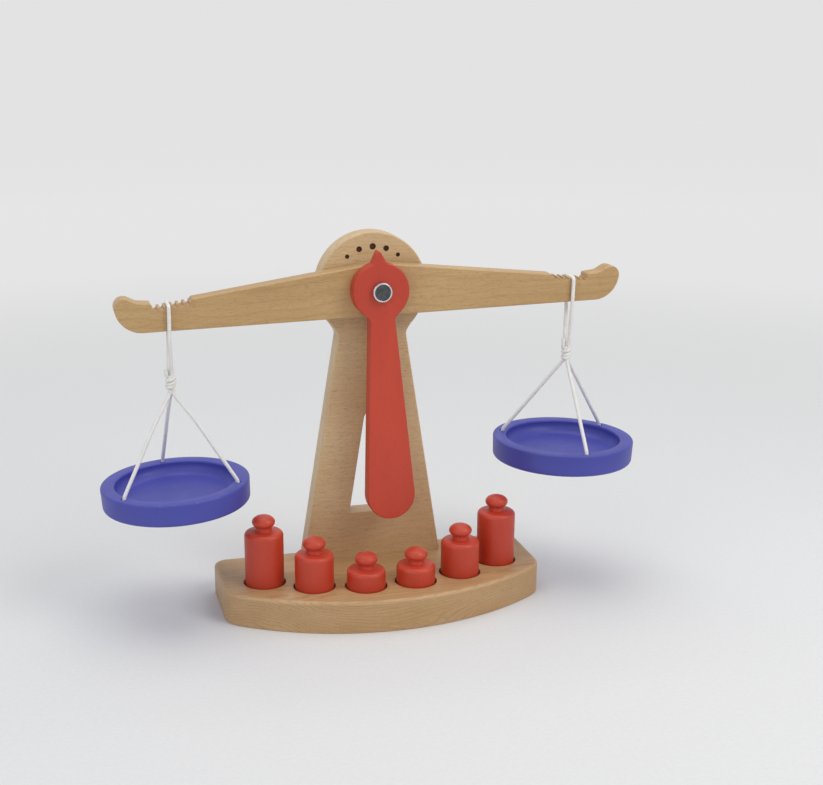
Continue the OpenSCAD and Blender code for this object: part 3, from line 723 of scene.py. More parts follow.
def lacquer(name, deep, light, bare_tone, coat=0.18):
    """Opaque coloured lacquer sprayed on wood: the grain still telegraphs, the edges wear first."""
    m, t, shader = material(name)
    wood = t.attribute("wood")
    grain = t.shared(GRAIN, Wood=wood)
    hands = t.shared(HANDLING, Wood=wood, Edge=t.attribute("worn", "Fac"))
    colour = t.mix(t.span(grain["Tone"], 0.3, 0.7), deep, light)
    colour = t.mix(t.times(grain["Rays"], 0.22), colour, dimmed(deep, 0.55))
    t.put(shader["Base Color"], t.mix(t.times(hands["Bare"], 0.40), colour, bare_tone))
    t.put(shader["Roughness"], t.span(hands["Smudge"], 0.0, 1.0, 0.44, 0.56))
    t.put(shader["Coat Weight"], coat)
    t.put(shader["Coat Roughness"], 0.26)
    peel = t.bump(hands["Orange peel"], 0.10, 0.0003)
    t.put(shader["Normal"], t.bump(grain["Height"], 0.16, 0.00010, peel))
    return m


def white_cord(name):
    """White plaited cord: painted shade in the gaps between yarns, faint dust, and fibres that run along the
    cord.
    """
    m, t, shader = material(name)
    uv = t.node("ShaderNodeUVMap", uv_map="plait").outputs[0]
    weave = t.shared(PLAIT, UV=uv)
    dust = t.noise(t.here(), 240.0, 4.0, 0.6)
    fibres = t.noise(t.stretch(uv, 60.0, 16.0, 1.0), 1.0, 3.0, 0.6)
    colour = t.mix(t.span(dust, 0.35, 0.7), rgb(250, 249, 246), rgb(242, 240, 235))
    # Painted shade: the gaps between yarns are mixed towards grey.
    t.put(shader["Base Color"], t.mix(t.times(weave["Gap"], 0.45), colour, rgb(188, 185, 176)))
    t.put(shader["Roughness"], t.span(fibres, 0.3, 0.7, 0.62, 0.80))
    t.put(shader["Sheen Weight"], 0.25)
    t.put(shader["Normal"], t.bump(t.plus(weave["Height"], t.times(fibres, 0.25)), 0.6, 0.00018))
    return m


def plated(name, colour, rough, brushed):
    """Plated metal with fine tool marks, and smears that dull it."""
    m, t, shader = material(name)
    place = t.here()
    marks = t.noise(place, 900.0, 3.0, 0.6)
    smear = t.noise(place, 160.0, 4.0, 0.6)
    t.put(shader["Base Color"], t.mix(t.span(smear, 0.35, 0.7), colour, dimmed(colour, 0.82)))
    t.put(shader["Metallic"], 1.0)
    t.put(shader["Roughness"], t.span(smear, 0.3, 0.75, rough, rough + 0.12))
    t.put(shader["Normal"], t.bump(marks, brushed, 0.00005))
    return m


def dark_face(name):
    """Blued steel, nearly black, with turning marks.

    Their height is the sine of TURNING_MARKS times the distance from the pivot."""
    m, t, shader = material(name)
    place = t.here()
    apart = t.apart(place)
    x, z = apart["X"], t.math("SUBTRACT", apart["Z"], PIVOT_Z * MM)
    out = t.math("SQRT", t.plus(t.times(x, x), t.times(z, z)))
    turns = t.math("SINE", t.times(out, TURNING_MARKS))
    stain = t.noise(place, 500.0, 4.0, 0.6)
    t.put(shader["Base Color"], t.mix(t.span(stain, 0.35, 0.7), rgb(92, 95, 96), rgb(68, 70, 70)))
    t.put(shader["Metallic"], 0.75)
    t.put(shader["Roughness"], t.span(stain, 0.3, 0.7, 0.34, 0.46))
    t.put(shader["Normal"], t.bump(turns, 0.22, 0.00004))
    return m


def nylon_white(name):
    """Unpainted moulded nylon: off-white, a little translucent, with a faint haze."""
    m, t, shader = material(name)
    haze = t.noise(t.here(), 300.0)
    t.put(shader["Base Color"], t.mix(t.span(haze, 0.35, 0.7), rgb(233, 232, 226), rgb(220, 218, 209)))
    t.put(shader["Roughness"], t.span(haze, 0.3, 0.7, 0.38, 0.50))
    t.put(shader["Subsurface Weight"], 0.15)
    t.put(shader["Subsurface Scale"], 0.002)
    t.put(shader["Normal"], t.bump(haze, 0.2, 0.00008))
    return m


def dark_brown(name):
    """The floor and wall of a drilled mark, coloured dark brown."""
    m, t, shader = material(name)
    grain = t.shared(GRAIN, Wood=t.attribute("wood"))
    t.put(shader["Base Color"], t.mix(t.times(grain["Rays"], 0.6), rgb(88, 52, 28), rgb(58, 32, 16)))
    t.put(shader["Roughness"], t.span(grain["Tone"], 0.3, 0.7, 0.55, 0.7))
    t.put(shader["Normal"], t.bump(grain["Height"], 0.4, 0.00015))
    return m


# The upright's tint is much brighter than the base's and the beam's: painted light that lifts the shade the
# beam and pointer cast on it, as well as the upright's own hue.
LIT_UPRIGHT_BEECH = bare_beech("upright beech with painted light", tint=(1.10, 1.19, 1.36), years=0.13)
BASE_BEECH = bare_beech("base beech", tint=(0.92, 0.88, 0.88), years=0.52)
BEAM_BEECH = bare_beech("beam beech", tint=(0.90, 0.87, 0.79), years=0.22)
PIN_BEECH = bare_beech("dowel beech", tint=(1.0, 1.0, 1.0), years=0.2, coat=0.05, kept=True)
MARK = dark_brown("dark brown mark")
RED = lacquer("red lacquer", rgb(190, 56, 33), rgb(204, 66, 39), rgb(214, 128, 86))
BLUE = lacquer("blue lacquer", rgb(62, 66, 159), rgb(73, 77, 173), rgb(130, 134, 194), coat=0.06)
CORD = white_cord("white braided cord")
CHROME = plated("chrome plate", rgb(216, 218, 222), 0.12, 0.10)
STEEL = plated("zinc plated steel", rgb(190, 191, 190), 0.26, 0.25)
BOLT_FACE = dark_face("bolt face")
NYLON = nylon_white("natural nylon")


def give(obj, body, nodes):
    """Hangs a finished piece on its body in place of its CAD nodes."""
    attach(obj, body)
    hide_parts(*nodes)


# Base: a thick board with a bowed front, six sockets on top and two screws let in from below

def base_path():
    """The base from above: a bowed front of radius FRONT_R, a straight back, four round corners."""
    x, y = BASE_W / 2, BASE_D / 2
    a = np.radians(np.arange(-BOW_HALF, BOW_HALF + 0.5, BOW_STEP))
    bow = np.stack([FRONT_R * np.sin(a), ARC_Y - FRONT_R * np.cos(a)], 1)
    end = ARC_Y - math.sqrt(FRONT_R ** 2 - x ** 2)
    rows = np.concatenate([
        [[-x, end, FRONT_CORNER_R]], sharp(bow),
        [[x, end, FRONT_CORNER_R], [x, y, BACK_CORNER_R], [-x, y, BACK_CORNER_R]]])
    return anticlockwise(dense(rounded(rows, 12), 4.0))


def screw_bore(skin, middle):
    """A bore for a countersunk screw, let in from below: mouth, head and shank. Returns its lowest ring.

    A row is (radius, height, how much of the normal points inwards); the rest of it points down."""
    around = circle((0, 0), 1.0, 48)
    rings = []
    for r, z, inwards in ((SCREW_MOUTH_R, 0.0, 0.3), (SCREW_HEAD_R, 0.15, 1.0), (SCREW_HEAD_R, 1.0, 1.0),
                          (SCREW_SHANK_R, 3.1, 0.7), (SCREW_SHANK_R, SCREW_DEPTH, 1.0)):
        p = np.column_stack([np.array(middle) + around * r, np.full(len(around), z)])
        rings.append(skin.ring(p, np.column_stack([-around * inwards, np.full(len(around), inwards - 1)])))
    skin.walls([k[::-1] for k in rings])
    skin.tip(rings[-1][::-1], [*middle, SCREW_DEPTH], [0, 0, -1])
    return rings[0]


def make_base():
    """The board's edge all round, six sockets sunk into its top and two screw bores in its underside."""
    skin = Skin()
    foot, top = through(skin, base_path(), 0.0, BASE_H, BASE_FOOT_EDGE, BASE_TOP_EDGE)
    mouths = [sink(skin, socket_place(i), SOCKET_R, BASE_H, SOCKET_DEPTH, SOCKET_RIM, SOCKET_COVE, count=96)
              for i in range(6)]
    skin.cap([top, *mouths], 1)
    screw_y = (UPRIGHT_BACK + UPRIGHT_FRONT) / 2
    skin.cap([foot, *(screw_bore(skin, (x, screw_y)) for x in (-SCREW_X, SCREW_X))], -1)
    return skin.make("base_board", [BASE_BEECH], grain=np.diag([1.5, 2.7, 2.7]), seed=1.0)


give(make_base(), "stand", ["base"])


# Upright: a tapering board with a round head, a window and five drilled marks

def upright_path():
    """Straight flanks from the foot to the neck, a hollow corner, then the round head."""
    right = np.concatenate([
        [[FOOT_HALF, BASE_H, 0.3], [NECK_HALF, HEAD_Z - HEAD_R + NECK_CORNER_R, NECK_CORNER_R]],
        sharp(arc((0, HEAD_Z), HEAD_R, -44, 88, 44))])
    return anticlockwise(dense(rounded(np.concatenate([right, mirrored(right)]), 10), 4.0))


def window_path():
    """A tall opening with sharp lower corners eased by a little, narrowing to a small round top."""
    slope = math.degrees(math.atan2(FOOT_HALF - NECK_HALF, HEAD_Z - BASE_H - HEAD_R))
    top = arc((0, WINDOW_TOP), WINDOW_TOP_R, slope, 180 - slope, 20)
    rows = np.concatenate([[[WINDOW_HALF, SILL_Z, 0.6]], sharp(top), [[-WINDOW_HALF, SILL_Z, 0.6]]])
    return anticlockwise(dense(rounded(rows, 6), 3.0))


def make_upright():
    """The board between its two faces, with window, bore and marks; its foot keeps a nearly sharp edge."""
    skin = Skin()
    t = UPRIGHT_BACK - UPRIGHT_FRONT
    path = upright_path()
    edge = np.where(path[:, 1] < BASE_H + 2.0, UPRIGHT_FOOT_EDGE, UPRIGHT_EDGE)
    back, front = through(skin, path, 0.0, t, edge, edge)
    window_back, window_front = through(skin, window_path(), 0.0, t, WINDOW_EDGE, WINDOW_EDGE, hole=True)
    bore = circle((0, PIVOT_Z), SLEEVE_BORE_R, 48)
    bore_back, bore_front = through(skin, bore, 0.0, t, BORE_EDGE, BORE_EDGE, hole=True)
    marks = []
    for i in range(-2, 3):
        a = math.radians(i * MARK_STEP)
        middle = (MARK_ARC * math.sin(a), HEAD_Z + MARK_ARC * math.cos(a))
        radius = MARK_RADII[abs(i)]
        marks.append(sink(skin, middle, radius, t, MARK_DEPTH, MARK_RIM, MARK_COVE, slot=1, count=36))
    skin.cap([front, window_front, bore_front, *marks], 1)
    skin.cap([back, window_back, bore_back], -1)
    return skin.make("upright_board", [LIT_UPRIGHT_BEECH, MARK], turn=ACROSS, shift=(0, UPRIGHT_BACK, 0), seed=2.0)


give(make_upright(), "stand", ["upright"])


# Beam: a lath with a low peak, six notches at each end and a hooked nose

def beam_rows():
    """Path rows of the right half of the beam's edge, from the peak to the lowest point.

    A notch is half a circle cut square to the slope; an empty one lies deeper, between straight sides."""
    nose = (BEAM_HALF - NOSE_R, NOSE_R - BELOW)
    tip = (BEAM_HALF - TIP_R, nose[1] - TIP_R * 0.16)
    wall = floor_at(HOOK_X) + HOOK_WALL
    way = math.degrees(math.atan2(SLOPE_END - PEAK, SLOPE_X))
    step_x = SLOPE_X + 0.8
    rows = [[0, PEAK, PEAK_R], [SLOPE_X, slope_at(SLOPE_X), 1.2], [step_x, floor_at(step_x), 0.25]]
    for i in range(-3, 3):
        x = HANG_X + i * PITCH
        z = floor_at(x)
        if i == 0:
            cut = arc((x, z), NOTCH_R, 180 + way, 360 + way, 12)
        else:
            cut = arc((x, z - EMPTY_NOTCH_DROP), EMPTY_NOTCH_R, 180 + way, 360 + way, 12)
            side = [0, EMPTY_NOTCH_DROP]
            cut = np.concatenate([cut[:1] + side, cut, cut[-1:] + side])
        rows += [[*cut[0], NOTCH_LIP_R], *sharp(cut[1:-1]).tolist(), [*cut[-1], NOTCH_LIP_R]]
    rows += [[HOOK_X + 0.2, floor_at(HOOK_X), 0.3], [HOOK_X + 0.6, wall, 1.5], [HOOK_X + 9.6, wall + 0.8, 9]]
    return np.concatenate([rows, sharp(arc(tip, TIP_R, 112, 0, 14)), sharp(arc(nose, NOSE_R, -5, -90, 30))])


def make_beam():
    """The lath between its two faces; its round edge fades out evenly towards the notches."""
    skin = Skin()
    rows = beam_rows()
    path = anticlockwise(dense(rounded(np.concatenate([rows, mirrored(rows[1:])]), 6), 3.0))
    x = np.abs(path[:, 0])
    cut = (x > SLOPE_X + 0.3) & (x < HOOK_X + 1.0) & (path[:, 1] > floor_at(x) - NOTCH_R - 0.5)
    edge = np.where(cut, NOTCH_EDGE, BEAM_EDGE)
    for _ in range(2):
        edge = np.minimum(edge, (np.roll(edge, 1) + np.roll(edge, -1)) / 2 + 0.2)
    t = BEAM_BACK - BEAM_FRONT
    back, front = through(skin, path, 0.0, t, edge, edge)
    bore = circle((0, 0), TURNING_BORE_R, 48)
    bore_back, bore_front = through(skin, bore, 0.0, t, BORE_EDGE, BORE_EDGE, hole=True)
    skin.cap([front, bore_front], 1)
    skin.cap([back, bore_back], -1)
    return skin.make("beam_lath", [BEAM_BEECH], turn=about_y(-TILT) @ ACROSS,
                     shift=(0, BEAM_BACK, PIVOT_Z), seed=3.0)


give(make_beam(), "beam", ["beam"])


# Pointer: a flat red paddle under the pivot, with a disc and a short point above it

def pointer_path():
    """A point, a disc, a neck that widens evenly and a round foot, the same on both sides."""
    low_z = -math.sqrt(DISC_R ** 2 - POINTER_NECK ** 2)
    slope = math.degrees(math.atan2(PADDLE_R - POINTER_NECK, PADDLE_REACH + low_z))
    low = math.degrees(math.asin(POINTER_NECK / DISC_R))
    right = np.concatenate([
        [[0, TIP_H + 1.2, 1.0], [4.6, DISC_R - 0.4, 2.5]],
        sharp(arc((0, 0), DISC_R, 64, -90 + low + 14, 44)),
        [[POINTER_NECK, low_z - 1.6, 2.2]],
        sharp(arc((0, -PADDLE_REACH), PADDLE_R, slope, -90, 30))])
    return anticlockwise(dense(rounded(np.concatenate([right, mirrored(right[1:-1])]), 8), 4.0))


def make_pointer():
    """The paddle between its two faces, with the bore for the bolt."""
    skin = Skin()
    t = BEAM_FRONT - POINTER_FRONT
    back, front = through(skin, pointer_path(), 0.0, t, POINTER_BACK_EDGE, POINTER_EDGE)
    bore = circle((0, 0), TURNING_BORE_R, 48)
    bore_back, bore_front = through(skin, bore, 0.0, t, BORE_EDGE, POINTER_BORE_EDGE, hole=True)
    skin.cap([front, bore_front], 1)
    skin.cap([back, bore_back], -1)
    return skin.make("pointer_paddle", [RED], turn=about_y(-TILT - SKEW) @ ACROSS,
                     shift=(0, BEAM_FRONT, PIVOT_Z), grain=GRAIN_UP_Y, seed=4.0)


give(make_pointer(), "beam", ["pointer"])


# Bolt: the sleeve's chromed head with a sunk dark face

def make_bolt():
    """A disc with a bevelled lip round a flat recess. The recess is the second material."""
    floor = SLEEVE_T - RECESS_DEPTH
    bevel_r = SLEEVE_R - (SLEEVE_R - RECESS_R) / 2 * 0.55
    rows = [[0, 0, 0], [SLEEVE_R, 0, 0.25], [SLEEVE_R, SLEEVE_T - 1.2, 0.3], [bevel_r, SLEEVE_T - 0.12, 0.4],
            [RECESS_R + 0.25, SLEEVE_T, 0.2], [RECESS_R, floor, 0.12], [0, floor, 0]]
    profile = to_axis(dense(rounded(rows, 5), 1.0))
    r, z = profile.T
    sunk = (r < RECESS_R + 0.05) & (z > floor / 2) & (z < floor + 0.15)
    return turned(profile, 96, "bolt_head", [CHROME, BOLT_FACE], slots=sunk.astype(int), turn=ACROSS,
                  shift=(0, SLEEVE_BACK, PIVOT_Z))


give(make_bolt(), "stand", ["pivot_sleeve"])


# Weights: turned pegs with a knob, in three heights, one set for each side

def weight_profile(height):
    """A straight body with a round shoulder, a low crown, a short neck and an egg-shaped knob.

    The knob is KNOB_R sin a across and KNOB_H / 2 cos a down from its middle; the neck meets it where
    KNOB_R sin a is the neck's radius."""
    meet = math.asin(NECK_R / KNOB_R)
    body = height + SOCKET_DEPTH - KNOB_H * (1 + math.cos(meet)) / 2 - NECK_H
    middle = body + NECK_H + KNOB_H / 2 * math.cos(meet)
    rows = [[0, 0, 0], [WEIGHT_R, 0, WEIGHT_BEVEL], [WEIGHT_R, body - CROWN, SHOULDER_R],
            [NECK_R + 0.2, body, 0.7], [NECK_R, body + NECK_H, 0.6]]
    a = np.radians(np.linspace(math.degrees(meet) + 9, 180, 34))
    knob = np.stack([KNOB_R * np.sin(a), middle - KNOB_H / 2 * np.cos(a)], 1)
    knob[-1, 0] = 0.0
    return to_axis(dense(rounded(np.concatenate([rows, sharp(knob)]), 10), 2.5))


def make_weight(side, i, size, height):
    """One peg in its socket, rubbed more and more over the last few millimetres of its knob."""
    profile = weight_profile(height)
    z = profile[:, 1]
    rubbed = np.clip((z - z.max() + KNOB_RUB_REACH) / KNOB_RUB_REACH, 0, 1) * KNOB_RUB
    place = (*socket_place(i if side < 0 else 5 - i), BASE_H - SOCKET_DEPTH)
    return turned(profile, 96, f"peg_{size}_{SIDE[side]}", [RED], worn=rubbed, shift=place,
                  grain=GRAIN_UP_Z, seed=5.0 + i + 3 * (side > 0))


for side in (-1, 1):
    for i, (size, height) in enumerate(WEIGHTS):
        name = f"weight_{size}_{SIDE[side]}"
        give(make_weight(side, i, size, height), name, [name])


# Pans: turned dishes with a flat rim, three cord holes and a wider bore for each knot below

def on_pan(side, place):
    """A place in the leaning pan's own axes, from the middle of its rim, as seen from the notch."""
    return np.array(place) @ about_y(LEAN[side]).T - [0, 0, PAN_DROP[side]]


def with_points(profile, k, shares):
    """The profile with more points between its points k and k + 1, at the given shares of the way."""
    more = [profile[k] + (profile[k + 1] - profile[k]) * s for s in shares]
    return np.concatenate([profile[:k + 1], more, profile[k + 1:]])


def pan_rings(skin, profile, count=160):
    """Rings of a profile (r, z) about the axis, whose outside lies on its right as it is walked.

    The rounds at the rim count as worn, most where the profile runs at 45 degrees."""
    a = once_round(count)
    around = np.stack([np.cos(a), np.sin(a)], 1)
    way = unit(np.diff(profile, axis=0))
    tangent = unit(np.concatenate([way[:1], way[1:] + way[:-1], way[-1:]]))
    made = []
    for (r, z), (tr, tz) in zip(profile, tangent):
        rubbed = max(0.0, math.sin(2 * math.atan2(abs(tr), abs(tz)))) * (z > PAN_H - 2)
        p = np.column_stack([around * r, np.full(count, z)])
        made.append(skin.ring(p, np.column_stack([around * tz, np.full(count, -tr)]), rubbed))
    skin.walls(made)
    return made


def pan_hole(skin, middle, count=40):
    """A cord hole down from the rim into a wider bore from below. Returns its highest and lowest ring.

    The bore is flattened where it would come too near the wall; a small cove joins it to its ceiling."""
    hole, bore = circle(middle, HOLE_R, count), circle(middle, BORE_R, count)
    bore = bore * np.minimum(1.0, BORE_REACH / np.linalg.norm(bore, axis=1, keepdims=True))
    upper = rim_rings(skin, hole, PAN_H, HOLE_RIM, 1, normals=-outward(hole))
    lower = rim_rings(skin, hole, BORE_DEPTH, 0.1, -1, normals=-outward(hole))
    skin.walls([r[::-1] for r in lower[::-1] + upper])
    seat = []
    for a in quarter(3)[::-1]:
        path = middle + (bore - middle) * (1 - BORE_COVE * (1 - math.cos(a)) / BORE_R)
        p = np.column_stack([path, np.full(count, BORE_DEPTH - BORE_COVE * (1 - math.sin(a)))])
        m = np.column_stack([unit(middle - bore) * math.cos(a), np.full(count, -math.sin(a))])
        seat.append(skin.ring(p, m))
    foot = rim_rings(skin, bore, 0.0, BORE_RIM, -1, normals=-outward(bore))[::-1]
    skin.wall(seat[0][::-1], lower[-1][::-1])
    skin.walls([r[::-1] for r in foot + seat[::-1]])
    return upper[-1], foot[0]


def make_pan(side, hang):
    """A turned dish: rings for its wall, cove and floor, flat caps with three holes for rim and underside."""
    skin = Skin()
    low, dish, floor = PAN_R - PAN_DRAFT, PAN_R - RIM_W, PAN_H - DISH_DEPTH
    steps = 8
    path = rounded([[0, 0, 0], [low, 0, PAN_FOOT_R], [PAN_R, PAN_H, PAN_TOP_R], [dish, PAN_H, PAN_TOP_R],
                    [dish, floor, COVE_R], [0, floor, 0]], steps)
    corners = 2 * (steps + 1)
    outer, inner = path[1:1 + corners], path[1 + corners:1 + 2 * corners]
    outside = pan_rings(skin, with_points(outer, steps, (0.2, 0.8)))
    inside = pan_rings(skin, with_points(inner, steps, (0.3, 0.7)))
    bottom = pan_rings(skin, np.array([[r, floor] for r in (inner[-1][0] - 1.2, 20.0, 8.0)]))
    skin.wall(inside[-1], bottom[0])
    skin.tip(bottom[-1], [0, 0, floor], [0, 0, 1])
    mouths, bores = zip(*(pan_hole(skin, HOLE_AT * hole_way(side, k)[:2]) for k in range(3)))
    skin.cap([outside[-1], inside[0], *mouths], 1)
    skin.cap([outside[0], *bores], -1)
    return skin.make(f"{SIDE[side]}_pan_dish", [BLUE], turn=about_y(LEAN[side]),
                     shift=hang + on_pan(side, [0, 0, -PAN_H]), seed=12.0 + side)


# Cords: a loop over the beam, a knot, and three strands down through the pan's rim

def make_loop(side, hang):
    """Up in front of the beam, through the notch and down behind it; both legs end in the knot.

    The route is a smooth curve through given places, with arcs of radius `bend` over the edges."""
    leg, bend = 7.55, 1.55
    low = -(BELOW + floor_at(HANG_X) + 3.0)
    top = KNOT_MID[side] + KNOT_HALF

    def half(cross, slant):
        """One leg, from its place in the knot, up past the beam's lower edge to the notch.

        `cross` is how far it lies to its side in the knot, and `slant` how far it leans under the beam."""
        rows = [[0.8 * cross, -0.9, top - 2.4], [1.05 * cross, -1.1, top], [0.9 * cross, -1.5, top + 3.0],
                [0.35 * cross + 0.4 * slant, -(1.4 + leg) / 2, (top + low) / 2],
                [slant, -leg + 0.4, low - 3.0], [0.9 * slant, -leg, low], [0.3 * slant, -leg, low / 2]]
        over = [[0, bend * (1 + math.cos(a)) - leg, bend * (math.sin(a) - 1)]
                for a in np.radians([180, 150, 120, 95])]
        return np.array(rows + over)

    front, back = half(1.0, FRONT_SLANT), half(-1.0, BACK_SLANT[side])
    saddle = [[0, -2.5, 0], [0, 2.5, 0]]
    cords = Cords()
    cords.sweep(smooth_route(np.concatenate([front, saddle, back[::-1] * [1, -1, 1]]), 150), CORD_R)
    return cords.finish(f"{SIDE[side]}_loop", hang)


# The knot's route, one place a row: degrees round the bundle, radius and height
WINDING = [
    (135, 2.2, -2.0), (180, 2.35, -1.7), (225, 2.45, -1.2), (270, 2.5, -0.7), (315, 2.5, -0.2),
    (360, 2.5, 0.2), (405, 2.4, 0.4), (450, 2.4, 0.6), (495, 2.4, 0.8), (540, 2.4, 1.1),
    (585, 2.4, 1.5), (630, 2.4, 2.0), (675, 2.4, 2.4), (720, 2.4, 2.7), (765, 2.3, 2.9),
    (810, 2.3, 3.0), (855, 2.4, 3.3), (895, 2.6, 4.0)]


def make_knot(side, hang):
    """One end wound twice round the bundle and up out of the knot, over a slanting turn that closes its foot.

    A place of the winding is (r cos a, r sin a, z); the foot is a closed oval whose height is a cosine."""
    slim = KNOT_SLIM[side]
    a, r, z = np.array(WINDING, float).T
    turns = np.stack([slim * r * np.cos(np.radians(a)), slim * r * np.sin(np.radians(a)), z], 1)
    tip = TAIL_TIP[side]
    tail = [[-2.8, -0.5, 5.3], [-2.9, -0.8, 0.5 * tip + 2.0], [-3.1, -1.0, tip]]
    b = once_round(90)
    foot = np.stack([2.25 * slim * np.cos(b) - 0.3, 2.15 * slim * np.sin(b) - 0.15,
                     -2.65 - 0.5 * np.cos(b - 3.6)], 1)
    core = [[0, 0, -4.2], [0.1, 0.05, -1.0], [-0.1, 0, 1.5], [0, 0, 3.9]]
    cords = Cords()
    cords.sweep(smooth_route(np.concatenate([turns, tail]), 150), CORD_R)
    cords.sweep(foot, CORD_R, closed=True)
    cords.sweep(smooth_route(core, 24), 1.9, count=24)
    return cords.finish(f"{SIDE[side]}_tight_knot", hang + [0, 0, KNOT_MID[side]])


def make_strands(side, hang):
    """Each strand fans out of the knot, runs straight to its hole and bends down through the rim."""
    cords = Cords()
    for k in range(3):
        out = hole_way(side, k)
        start = 1.45 * out + [0, 0, KNOT_MID[side] - KNOT_HALF - 0.3]
        hole = on_pan(side, (HOLE_AT - 0.45) * out + [0, 0, 0.6])
        way = unit(hole - start)
        close = [0, 0, -2.6] if side < 0 else way * 1.5
        inside = [(HOLE_AT - 0.5) * out + [0, 0, -0.3], (HOLE_AT - 0.25) * out + [0, 0, -2.6],
                  HOLE_AT * out + [0, 0, BORE_DEPTH - PAN_H]]
        knots = [start, start + close, start + (hole - start) * 0.33, start + (hole - start) * 0.67,
                 hole - way * 1.6, *on_pan(side, inside)]
        cords.sweep(smooth_route(knots, 110), CORD_R)
    return cords.finish(f"{SIDE[side]}_three_strands", hang)


def make_stoppers(side, hang):
    """A small knot in each bore that keeps its strand from slipping out.

    It is a coil (r cos t, r sin t) that sinks evenly as t grows, round a short stub."""
    t = np.linspace(0, 2 * COIL_TURNS * math.pi, 64)
    coil = np.stack([COIL_R * np.cos(t), COIL_R * np.sin(t), COIL_H / 2 - COIL_H * t / t[-1]], 1)
    stub = np.array([[0, 0, 1.2], [0.3, 0, 0], [0.1, 0.2, -1.2], [0, 0, -2.0]])
    cords = Cords()
    for k in range(3):
        middle = (HOLE_AT - 0.6) * hole_way(side, k) + [0, 0, BORE_DEPTH - 2.4 - PAN_H]
        cords.sweep(on_pan(side, coil + middle), 0.88 * CORD_R)
        cords.sweep(smooth_route(on_pan(side, stub + middle), 16), 0.95 * CORD_R)
    return cords.finish(f"{SIDE[side]}_end_knots", hang)


for side in (-1, 1):
    hang = about_y(-TILT) @ np.array([side * HANG_X, 0, floor_at(HANG_X)]) + [0, BEAM_Y, PIVOT_Z]
    name = SIDE[side]
    give(make_pan(side, hang), f"{name}_pan", [f"{name}_pan"])
    give(make_loop(side, hang), f"{name}_hanger", [f"{name}_loop_cord"])
    give(make_knot(side, hang), f"{name}_hanger", [f"{name}_knot"])
    give(make_strands(side, hang), f"{name}_pan", [f"{name}_strands"])
    give(make_stoppers(side, hang), f"{name}_pan", [f"{name}_stopper_knots"])


# Small turned pieces that keep their own shape

KEPT = {"foot_screws": STEEL, "pivot_screw": STEEL, "rear_washer": STEEL, "spacer_washer": NYLON,
        "pointer_dowels": PIN_BEECH}
for node, finish in KEPT.items():
    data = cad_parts[node].data
    data.materials.clear()
    data.materials.append(finish)


# Table, light and camera: places in metres, TURN and LOOK_DOWN in degrees, SENSOR and LENS in millimetres

TABLE_R, CURVE_R, WALL_TOP = 2.2, 1.1, 1.9
PAPER, PAPER_SHADE = (0.81, 0.81, 0.81, 1), (0.78, 0.78, 0.78, 1)
FADE_FROM, FADE_TO, FAR_GLOW = 0.25, 1.4, 0.76
SKY, SKY_STRENGTH = (0.92, 0.94, 0.97, 1), 0.52
EYE, TURN, LOOK_DOWN = (-0.21933, -0.82268, 0.37953), 14.3, 16.8
SENSOR, LENS, SHIFT = 36.0, 58.8, (0.051, 0.0457)


def studio_paper():
    """Matt paper; to the camera and in metal it fades into an even glow away from the toy.

    The glow grows smoothly with the distance from the toy's middle, so that no horizon shows."""
    m, t, shader = material("studio paper")
    place = t.here()
    paper = t.mix(t.span(t.noise(place, 400.0), 0.3, 0.7), PAPER, PAPER_SHADE)
    ray = t.node("ShaderNodeLightPath").outputs
    seen = t.math("MAXIMUM", ray["Is Camera Ray"], ray["Is Glossy Ray"])
    seen = t.math("MAXIMUM", seen, ray["Is Transmission Ray"])
    far = t.times(seen, t.span(t.vector("LENGTH", place), FADE_FROM, FADE_TO, smooth=True))
    t.put(shader["Base Color"], t.mix(far, paper, (0, 0, 0, 1)))
    t.put(shader["Emission Color"], (1, 1, 1, 1))
    t.put(shader["Emission Strength"], t.times(far, FAR_GLOW))
    t.put(shader["Roughness"], 0.9)
    t.put(shader["Specular IOR Level"], 0.2)
    return m


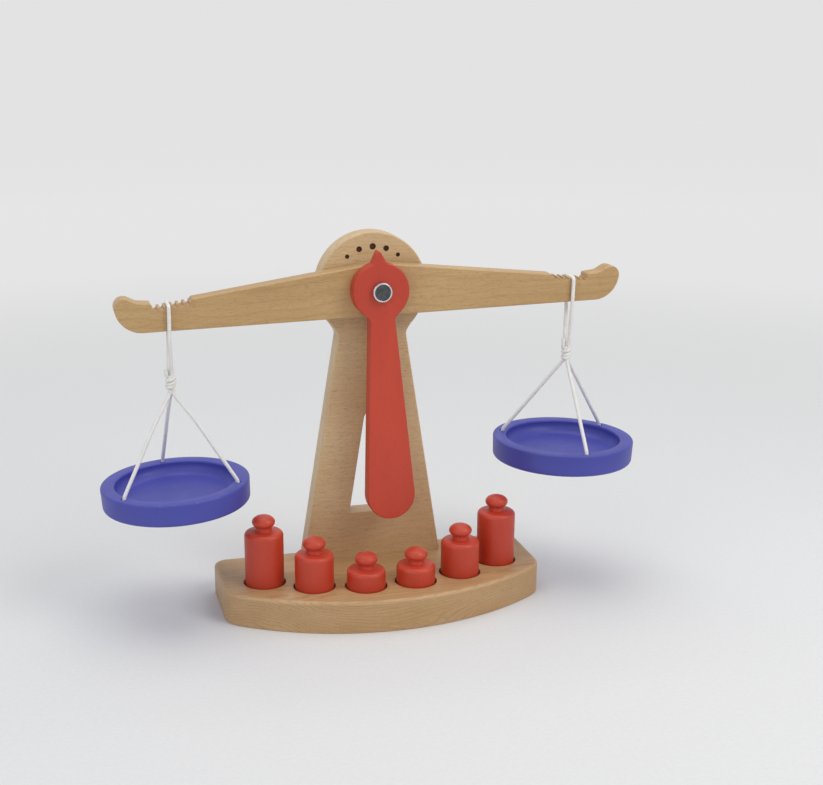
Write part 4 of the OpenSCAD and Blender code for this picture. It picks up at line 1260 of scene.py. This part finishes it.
def make_sweep(count=96):
    """A pale round table whose rim curves up on all sides: rings of radius r at height z.

    They lie flat to TABLE_R, follow a quarter round of CURVE_R, and end in a wall."""
    a = np.linspace(0, math.pi / 2, 24)
    r = np.concatenate([[0.25, 0.6, 1.2, 1.8], TABLE_R + CURVE_R * np.sin(a), [TABLE_R + CURVE_R]])
    z = np.concatenate([[0, 0, 0, 0], CURVE_R * (1 - np.cos(a)), [WALL_TOP]])
    turn = once_round(count)
    x, y = r[:, None] * np.cos(turn), r[:, None] * np.sin(turn)
    grid = np.stack([x, y, np.repeat(z[:, None], count, 1)], 2)
    rings = np.arange(len(r) * count).reshape(len(r), count)
    low, high = rings[:-1], rings[1:]
    walls = np.stack([low, high, np.roll(high, -1, 1), np.roll(low, -1, 1)], 2).reshape(-1, 4)
    data = bpy.data.meshes.new("studio_sweep")
    data.from_pydata(grid.reshape(-1, 3).tolist(), [], walls.tolist() + [rings[0].tolist()])
    data.polygons.foreach_set("use_smooth", np.ones(len(walls) + 1, bool))
    data.materials.append(studio_paper())
    obj = bpy.data.objects.new("studio_sweep", data)
    bpy.context.scene.collection.objects.link(obj)


def aimed(obj, place, way):
    """Puts a light or a camera at its place, looking along a direction, and into the scene."""
    obj.location = place
    obj.rotation_mode = "QUATERNION"
    obj.rotation_quaternion = way.to_track_quat("-Z", "Y")
    bpy.context.scene.collection.objects.link(obj)
    return obj


def make_light(name, place, aim, size, watts, colour=(1, 1, 1)):
    """A square softbox at its place, turned towards the point it is aimed at."""
    light = bpy.data.lights.new(name, "AREA")
    light.energy, light.size, light.color = watts, size, colour
    aimed(bpy.data.objects.new(name, light), place, Vector(aim) - Vector(place))


make_sweep()
make_light("key softbox", (0.75, -0.75, 1.05), (0, 0.02, 0.12), 0.7, 6.2, (1.0, 0.985, 0.96))
make_light("fill softbox", (-1.1, -0.9, 0.8), (0, 0, 0.12), 1.2, 4.4, (0.96, 0.98, 1.0))
make_light("top softbox", (0.0, 0.3, 1.5), (0, 0.05, 0.1), 1.3, 8.2)

world = bpy.data.worlds.new("studio")
bpy.context.scene.world = world
world.use_nodes = True
world.node_tree.nodes["Background"].inputs["Color"].default_value = SKY
world.node_tree.nodes["Background"].inputs["Strength"].default_value = SKY_STRENGTH

camera = bpy.data.cameras.new("camera")
camera.sensor_width, camera.lens = SENSOR, LENS
camera.shift_x, camera.shift_y = SHIFT
camera.clip_start, camera.clip_end = 0.02, 20.0
azimuth, elevation = math.radians(TURN), math.radians(LOOK_DOWN)
level = math.cos(elevation)
ahead = Vector((math.sin(azimuth) * level, math.cos(azimuth) * level, -math.sin(elevation)))
bpy.context.scene.camera = aimed(bpy.data.objects.new("camera", camera), EYE, ahead)
bpy.context.scene.view_settings.view_transform = "Standard"
